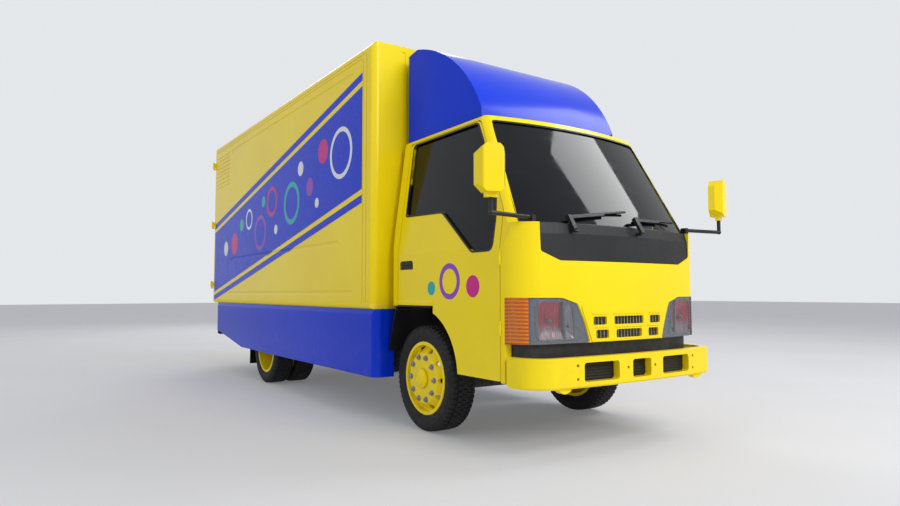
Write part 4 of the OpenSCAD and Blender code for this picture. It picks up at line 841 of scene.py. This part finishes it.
REAR_DOOR = [(0.010, 0.914, 0.012), (0.916, 0.914, 0.012), (0.916, 2.846, 0.012), (0.010, 2.846, 0.012)]
LOCK_ROD_X, LOCK_BRACKET_X, LOCK_Z = 0.120, 0.260, 1.330
# The lock handle's grip: distance from the truck's middle, station and height
LOCK_GRIP = [(0.128, 5.037, 1.330), (0.180, 5.038, 1.329), (0.360, 5.038, 1.322), (0.420, 5.036, 1.318)]
HINGE_HEIGHTS, HINGE_BOLTS = (1.080, 1.880, 2.680), (0.800, 0.850, 0.900)


def rear_door_trim(side, s):
    body = "box_door_" + side
    gasket = Bench()
    outer, crest, inner = outlines(REAR_DOOR, (0.0, -0.007, -0.018), 0.3)
    lines = (outer, -0.001), (outer, 0.003), (crest, 0.006), (inner, 0.003), (inner, -0.001)
    gasket.grid([[spot(s * p.x, REAR_DOOR_Y + rise, p.y) for p in line] for line, rise in lines], ring=True)
    gasket.done("rear_door_gasket_" + side, "seal_rubber", body, "black_plastic")

    handle = Bench()
    handle.lathe([(0.0135, -0.030), (0.0150, -0.026), (0.0150, 0.026), (0.0135, 0.030)],
                 spot(s * LOCK_ROD_X, 5.036, LOCK_Z), (0, 0, 1), 24)
    handle.tube([spot(s * x, y, z) for x, y, z in LOCK_GRIP], 0.008, 12)
    bracket = s * LOCK_BRACKET_X
    handle.slab(spot(bracket - 0.030, 5.019, 1.275), spot(bracket + 0.030, 5.026, 1.375))
    handle.slab(spot(bracket - 0.014, 5.024, 1.304), spot(bracket + 0.014, 5.048, 1.317))
    for z in (1.289, 1.361):
        handle.bolt(spot(bracket, 5.026, z), (0, 1, 0), 0.0055)
    handle.done("rear_lock_handle_" + side, "bare_steel", body, "bare_steel")

    fixings = Bench()
    for z in HINGE_HEIGHTS:
        for x in HINGE_BOLTS:
            fixings.bolt(spot(s * x, 5.028, z + 0.006), (0, 1, 0), 0.0065)
    fixings.done("rear_hinge_bolts_" + side, "bare_steel", body, "bare_steel")


def tail_lamps(side, s):
    rows_up, columns = 18, 12
    lens = Bench()
    for inner, outer in ((0.566, 0.660), (0.664, 0.758), (0.762, 0.854)):
        rows = []
        for j in range(rows_up + 1):
            z = between(0.538, 0.602, j, rows_up)
            ridge = 0.0022 * abs(math.sin(math.pi * j / 3))
            rises = [ridge + (0.0018 if 0 < i < columns else 0.0) for i in range(columns + 1)]
            rows.append([spot(s * between(inner, outer, i, columns), TAIL_LAMP_Y + rise, z)
                         for i, rise in enumerate(rises)])
        lens.grid(rows)
    lens.done("tail_lamp_segments_" + side, "red_lamp", "truck_body", "red_lamp", out=(0, 1, 0))
    flash = Bench()
    flash.lathe([(0.030, 0.0), (0.030, 0.006), (0.026, 0.010), (0.0, 0.012)],
                spot(s * 0.806, TAIL_LAMP_Y, 0.570), (0, 1, 0), 32)
    flash.done("tail_indicator_" + side, "amber_lamp", "truck_body", "amber_lamp")
    mark, middle = Bench(), s * 0.62
    mark.slab(spot(middle - 0.10, REAR_BAR_Y, 0.452), spot(middle + 0.10, REAR_BAR_Y + 0.005, 0.498), 0.002)
    mark.done("rear_reflector_" + side, "red_lamp", "truck_body", "red_lamp")


def mud_flap(side, s):
    """Ribbed rubber flap behind the twin wheels that swings back a little towards its foot."""
    rows_down, columns, thick = 12, 20, 0.007
    flap = Bench()
    rows = []
    for k in range(rows_down + 1):
        z = between(0.800, 0.160, k, rows_down)
        back = 3.5815 + 0.010 * (k / rows_down) ** 2
        line = [(between(0.510, 0.925, i, columns), back + 0.0015 * (i % 2)) for i in range(columns + 1)]
        rows.append([spot(s * x, y, z) for x, y in line] + [spot(s * x, y + thick, z) for x, y in reversed(line)])
    flap.grid(rows, ring=True, capped=True)
    flap.done("rear_mud_flap_" + side, "seal_rubber", "truck_body", "black_plastic")


def rear_end():
    for side, s in SIDES:
        rear_door_trim(side, s)
        tail_lamps(side, s)
        mud_flap(side, s)


# Cab interior: padded seats, dials, vents, door cards and lining


def cushion(bench, middle, size, crown, axis, channels):
    """A crowned pad whose sides pull in between its corners, with sewn channels across its face."""
    blunt, pull = 5.0, 0.030
    work = bmesh.new()
    bmesh.ops.create_cube(work, size=2.0)
    bmesh.ops.subdivide_edges(work, edges=list(work.edges), cuts=30, use_grid_fill=True)
    up = "XYZ".index(axis)
    one, two = (k for k in range(3) if k != up)
    for v in work.verts:
        scale = 1.0 / sum(abs(c) ** blunt for c in v.co) ** (1.0 / blunt)
        a, b, h = v.co[one] * scale, v.co[two] * scale, v.co[up] * scale
        pinch = 1.0 - pull * (1.0 - a * a) * abs(b) ** 6 - pull * (1.0 - b * b) * abs(a) ** 6
        seam = 0.006 * math.exp(-((h - 0.25) / 0.10) ** 2)
        rise = crown * (1.0 - a * a) * (1.0 - b * b) if h > 0 else 0.0
        for line in channels:
            rise -= 0.010 * math.exp(-((b - line) / 0.028) ** 2) * max(h, 0.0) * (1.0 - a ** 8)
        place = [0.0, 0.0, 0.0]
        place[one] = a * size[one] * pinch - math.copysign(seam, a) * abs(a) ** 8
        place[two] = b * size[two] * pinch - math.copysign(seam, b) * abs(b) ** 8
        place[up] = h * size[up] + rise
        v.co = place
    bmesh.ops.translate(work, vec=middle, verts=work.verts)
    bench.take(work)


def seats():
    pads, bases, posts = Bench(), Bench(), Bench()
    for x in (-DRIVER_X, DRIVER_X):
        cushion(pads, spot(x, -0.076, 1.186), (0.245, 0.240, 0.052), 0.020, "Z", (-0.42, 0.0, 0.42))
        for wing in (-1, 1):
            cushion(pads, spot(x + wing * 0.212, -0.076, 1.206), (0.036, 0.225, 0.050), 0.006, "Z", ())
        # The back and the headrest crown towards the front, so their depth is negative
        cushion(pads, spot(x, 0.232, 1.460), (0.225, -0.046, 0.275), 0.016, "Y", (-0.50, -0.05, 0.40))
        for wing in (-1, 1):
            cushion(pads, spot(x + wing * 0.200, 0.222, 1.440), (0.034, -0.050, 0.240), 0.004, "Y", ())
        cushion(pads, spot(x, 0.236, 1.782), (0.135, -0.040, 0.048), 0.010, "Y", ())
        for wing in (-1, 1):
            post, leg = x + wing * 0.065, x + wing * 0.185
            posts.tube([spot(post, 0.238, 1.700), spot(post, 0.238, 1.780)], 0.007, 12)
            bases.slab(spot(leg - 0.022, -0.225, 0.9145), spot(leg + 0.022, 0.205, 1.138), 0.008)
        bases.slab(spot(x - 0.205, -0.290, 1.118), spot(x + 0.205, 0.170, 1.142), 0.006)
        bases.slab(spot(x - 0.190, 0.262, 1.130), spot(x + 0.190, 0.281, 1.720), 0.008)
        bases.slab(spot(x - 0.180, -0.215, 0.930), spot(x + 0.180, -0.195, 1.120), 0.005)
    padded = pads.done("seat_cushions", "seat_cloth", "truck_body", "seat_cloth", smooth=60.0)
    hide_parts("seats")
    bases.done("seat_bases", "cab_trim", "truck_body", "black_plastic")
    posts.done("headrest_posts", "bare_steel", "truck_body", "bare_steel")


def dashboard_trim():
    hood = Bench()
    rows = []
    for k in range(17):
        t = math.pi * k / 16
        rows.append([spot(DRIVER_X + 0.175 * math.cos(t), y, 1.330 + 0.062 * math.sin(t))
                     for y in (-0.960, -0.780, -0.775, -0.782, -0.950)])
    hood.grid(rows)
    hood.done("dial_hood", "cab_trim", "truck_body", "black_plastic", out=(0, 0, 1))
    dials = Bench()
    for x, r in ((0.305, 0.042), (0.455, 0.042), (0.380, 0.026)):
        dials.lathe([(r, 0.0), (r, 0.010), (r - 0.004, 0.012), (r - 0.006, 0.006), (0.0, 0.006)],
                    spot(x, -0.815, 1.352), (0, 1, 0.35), 36)
        dials.tube([spot(x, -0.806, 1.356), spot(x - r * 0.4, -0.806, 1.356 + r * 0.55)], 0.0012, 6)
    dials.done("dials", "lamp_surround", "truck_body", "black_plastic")
    vents = Bench()
    for x in (-0.60, -0.10, 0.10, 0.64):
        for k in range(5):
            z = 1.240 + 0.011 * k
            vents.slab(spot(x - 0.060, -0.752, z), spot(x + 0.060, -0.738, z + 0.004), 0.0015)
        for e in (-0.064, 0.064):
            vents.slab(spot(x + e - 0.004, -0.760, 1.232), spot(x + e + 0.004, -0.734, 1.296), 0.002)
    vents.done("dash_vents", "black_plastic", "truck_body", "black_plastic")
    lean = math.radians(38.0)
    pad = Bench()
    pad.lathe([(0.060, -0.010), (0.062, 0.004), (0.056, 0.016), (0.036, 0.022), (0.0, 0.024)],
              spot(DRIVER_X, -0.580, 1.460), (0, math.sin(lean), math.cos(lean)), 36)
    pad.done("steering_wheel_pad", "cab_trim", "steering_wheel_body", "black_plastic", smooth=50.0)


def door_cards():
    rows_up, columns = 12, 24
    for side, s in SIDES:
        card = Bench()
        rows = []
        for k in range(rows_up + 1):
            z = between(0.955, 1.205, k, rows_up)
            swell = 0.012 * math.sin(math.pi * min(1.0, max(0.0, (z - 1.02) / 0.12))) + 0.004
            rows.append([spot(s * (0.795 - swell * min(1.0, min(j, columns - j) / 2.0)),
                              between(-0.760, 0.240, j, columns), z) for j in range(columns + 1)])
        card.grid(rows)
        rest = s * 0.765
        card.slab(spot(rest - 0.022, -0.30, 1.110), spot(rest + 0.022, 0.20, 1.150), 0.012)
        card.done("door_card_" + side, "cab_trim", "cab_door_" + side, "black_plastic")


def cab_lining():
    """Ribbed lining of the cab's back wall."""
    rows_up, half = 40, 20
    back = Bench()
    rows = []
    for k in range(rows_up + 1):
        z = between(0.930, 2.060, k, rows_up)
        wide = side_x(z) - 0.075
        swell = 0.006 * abs(math.sin(math.pi * k / 8))
        across = [j / half - 1 for j in range(2 * half + 1)]
        rows.append([spot(wide * a, 0.3585 - swell - 0.004 * (1 - abs(a) ** 6), z) for a in across])
    back.grid(rows)
    back.done("cab_back_lining", "cab_trim", "truck_body", "black_plastic", smooth=50.0, out=(0, -1, 0))


# Under the truck: spring clamps and the tank's cap

SPRING_X = 0.310
# Each axle's station and the lower and upper end of its spring clamps
SPRING_SEATS = ((0.0, 0.300, 0.462), (REAR_AXLE, 0.290, 0.512))


def underside():
    clamps = Bench()
    for s in (-1, 1):
        for station, low, high in SPRING_SEATS:
            for y in (station - 0.075, station + 0.075):
                for dx in (-0.041, 0.041):
                    x = s * SPRING_X + dx
                    clamps.tube([spot(x, y, low), spot(x, y, high - 0.012), spot(x - dx * 0.12, y, high - 0.002),
                                 spot(x - dx, y, high)], 0.008, 10)
                    clamps.bolt(spot(x, y, low + 0.008), (0, 0, -1), 0.012)
    clamps.done("spring_clamps", "cast_metal", "truck_body", "cast_metal")
    cap = Bench()
    cap.lathe([(0.046, -0.012), (0.046, 0.004), (0.052, 0.006), (0.052, 0.026), (0.046, 0.031), (0.020, 0.032),
               (0.018, 0.029), (0.0, 0.029)], spot(0.600, 1.450, 0.760), (0, 0, 1), 36)
    cap.slab(spot(0.560, 1.444, 0.788), spot(0.640, 1.456, 0.800))
    cap.done("fuel_cap", "black_plastic", "truck_body", "black_plastic")


wheels()
glass_seals()
lamps()
front_end()
bands()
shapes()
rear_end()
seats()
dashboard_trim()
door_cards()
cab_lining()
underside()

# Studio: pale floor and soft light from in front, from both sides and from behind

FLOOR_REACH = 60.0
AIR_LIGHT, AIR_SHOWN = colour(0.48, 0.49, 0.52), colour(0.78, 0.80, 0.82)
LAMP_TARGET = Vector((0, 0, 1.2))
# Each lamp's name, place, power and size
STUDIO_LAMPS = (("key_light", (0.5, -11.0, 7.0), 670.0, 6.0), ("left_light", (7.1, -4.8, 8.4), 260.0, 3.5),
                ("side_light", (-11.0, -2.0, 6.0), 150.0, 7.0), ("rear_light", (5.0, 11.0, 8.0), 420.0, 7.0))


def studio():
    mesh = bpy.data.meshes.new("studio_floor")
    corners = [(-1, -1), (1, -1), (1, 1), (-1, 1)]
    mesh.from_pydata([(x * FLOOR_REACH, y * FLOOR_REACH, 0) for x, y in corners], [], [(0, 1, 2, 3)])
    floor = bpy.data.objects.new("studio_floor", mesh)
    bpy.context.scene.collection.objects.link(floor)
    f = Finish("studio_floor")
    tone = f.blend(f.noise(0.6).ramp(0.3, 0.7), colour(0.56, 0.56, 0.57), colour(0.58, 0.58, 0.59))
    mesh.materials.append(f.set(Base_Color=tone, Roughness=0.9, Emission_Color=colour(0.82, 0.83, 0.85),
                                Emission_Strength=0.16))

    world = bpy.data.worlds.new("studio_air")
    world.use_nodes = True
    bpy.context.scene.world = world
    air = Finish("studio_air", world.node_tree)
    seen, mirrored, through = (air.node("ShaderNodeLightPath", output=ray)
                               for ray in ("Is Camera Ray", "Is Glossy Ray", "Is Transmission Ray"))
    sky = world.node_tree.nodes["Background"]
    air.feed(sky.inputs["Color"], air.blend(seen.most(mirrored).most(through), AIR_LIGHT, AIR_SHOWN))
    sky.inputs["Strength"].default_value = 1.0

    for name, place, power, size in STUDIO_LAMPS:
        lamp = bpy.data.lights.new(name, "AREA")
        lamp.energy, lamp.size = power, size
        holder = bpy.data.objects.new(name, lamp)
        holder.location = place
        holder.rotation_mode = "QUATERNION"
        holder.rotation_quaternion = (LAMP_TARGET - Vector(place)).to_track_quat("-Z", "Y")
        bpy.context.scene.collection.objects.link(holder)


studio()
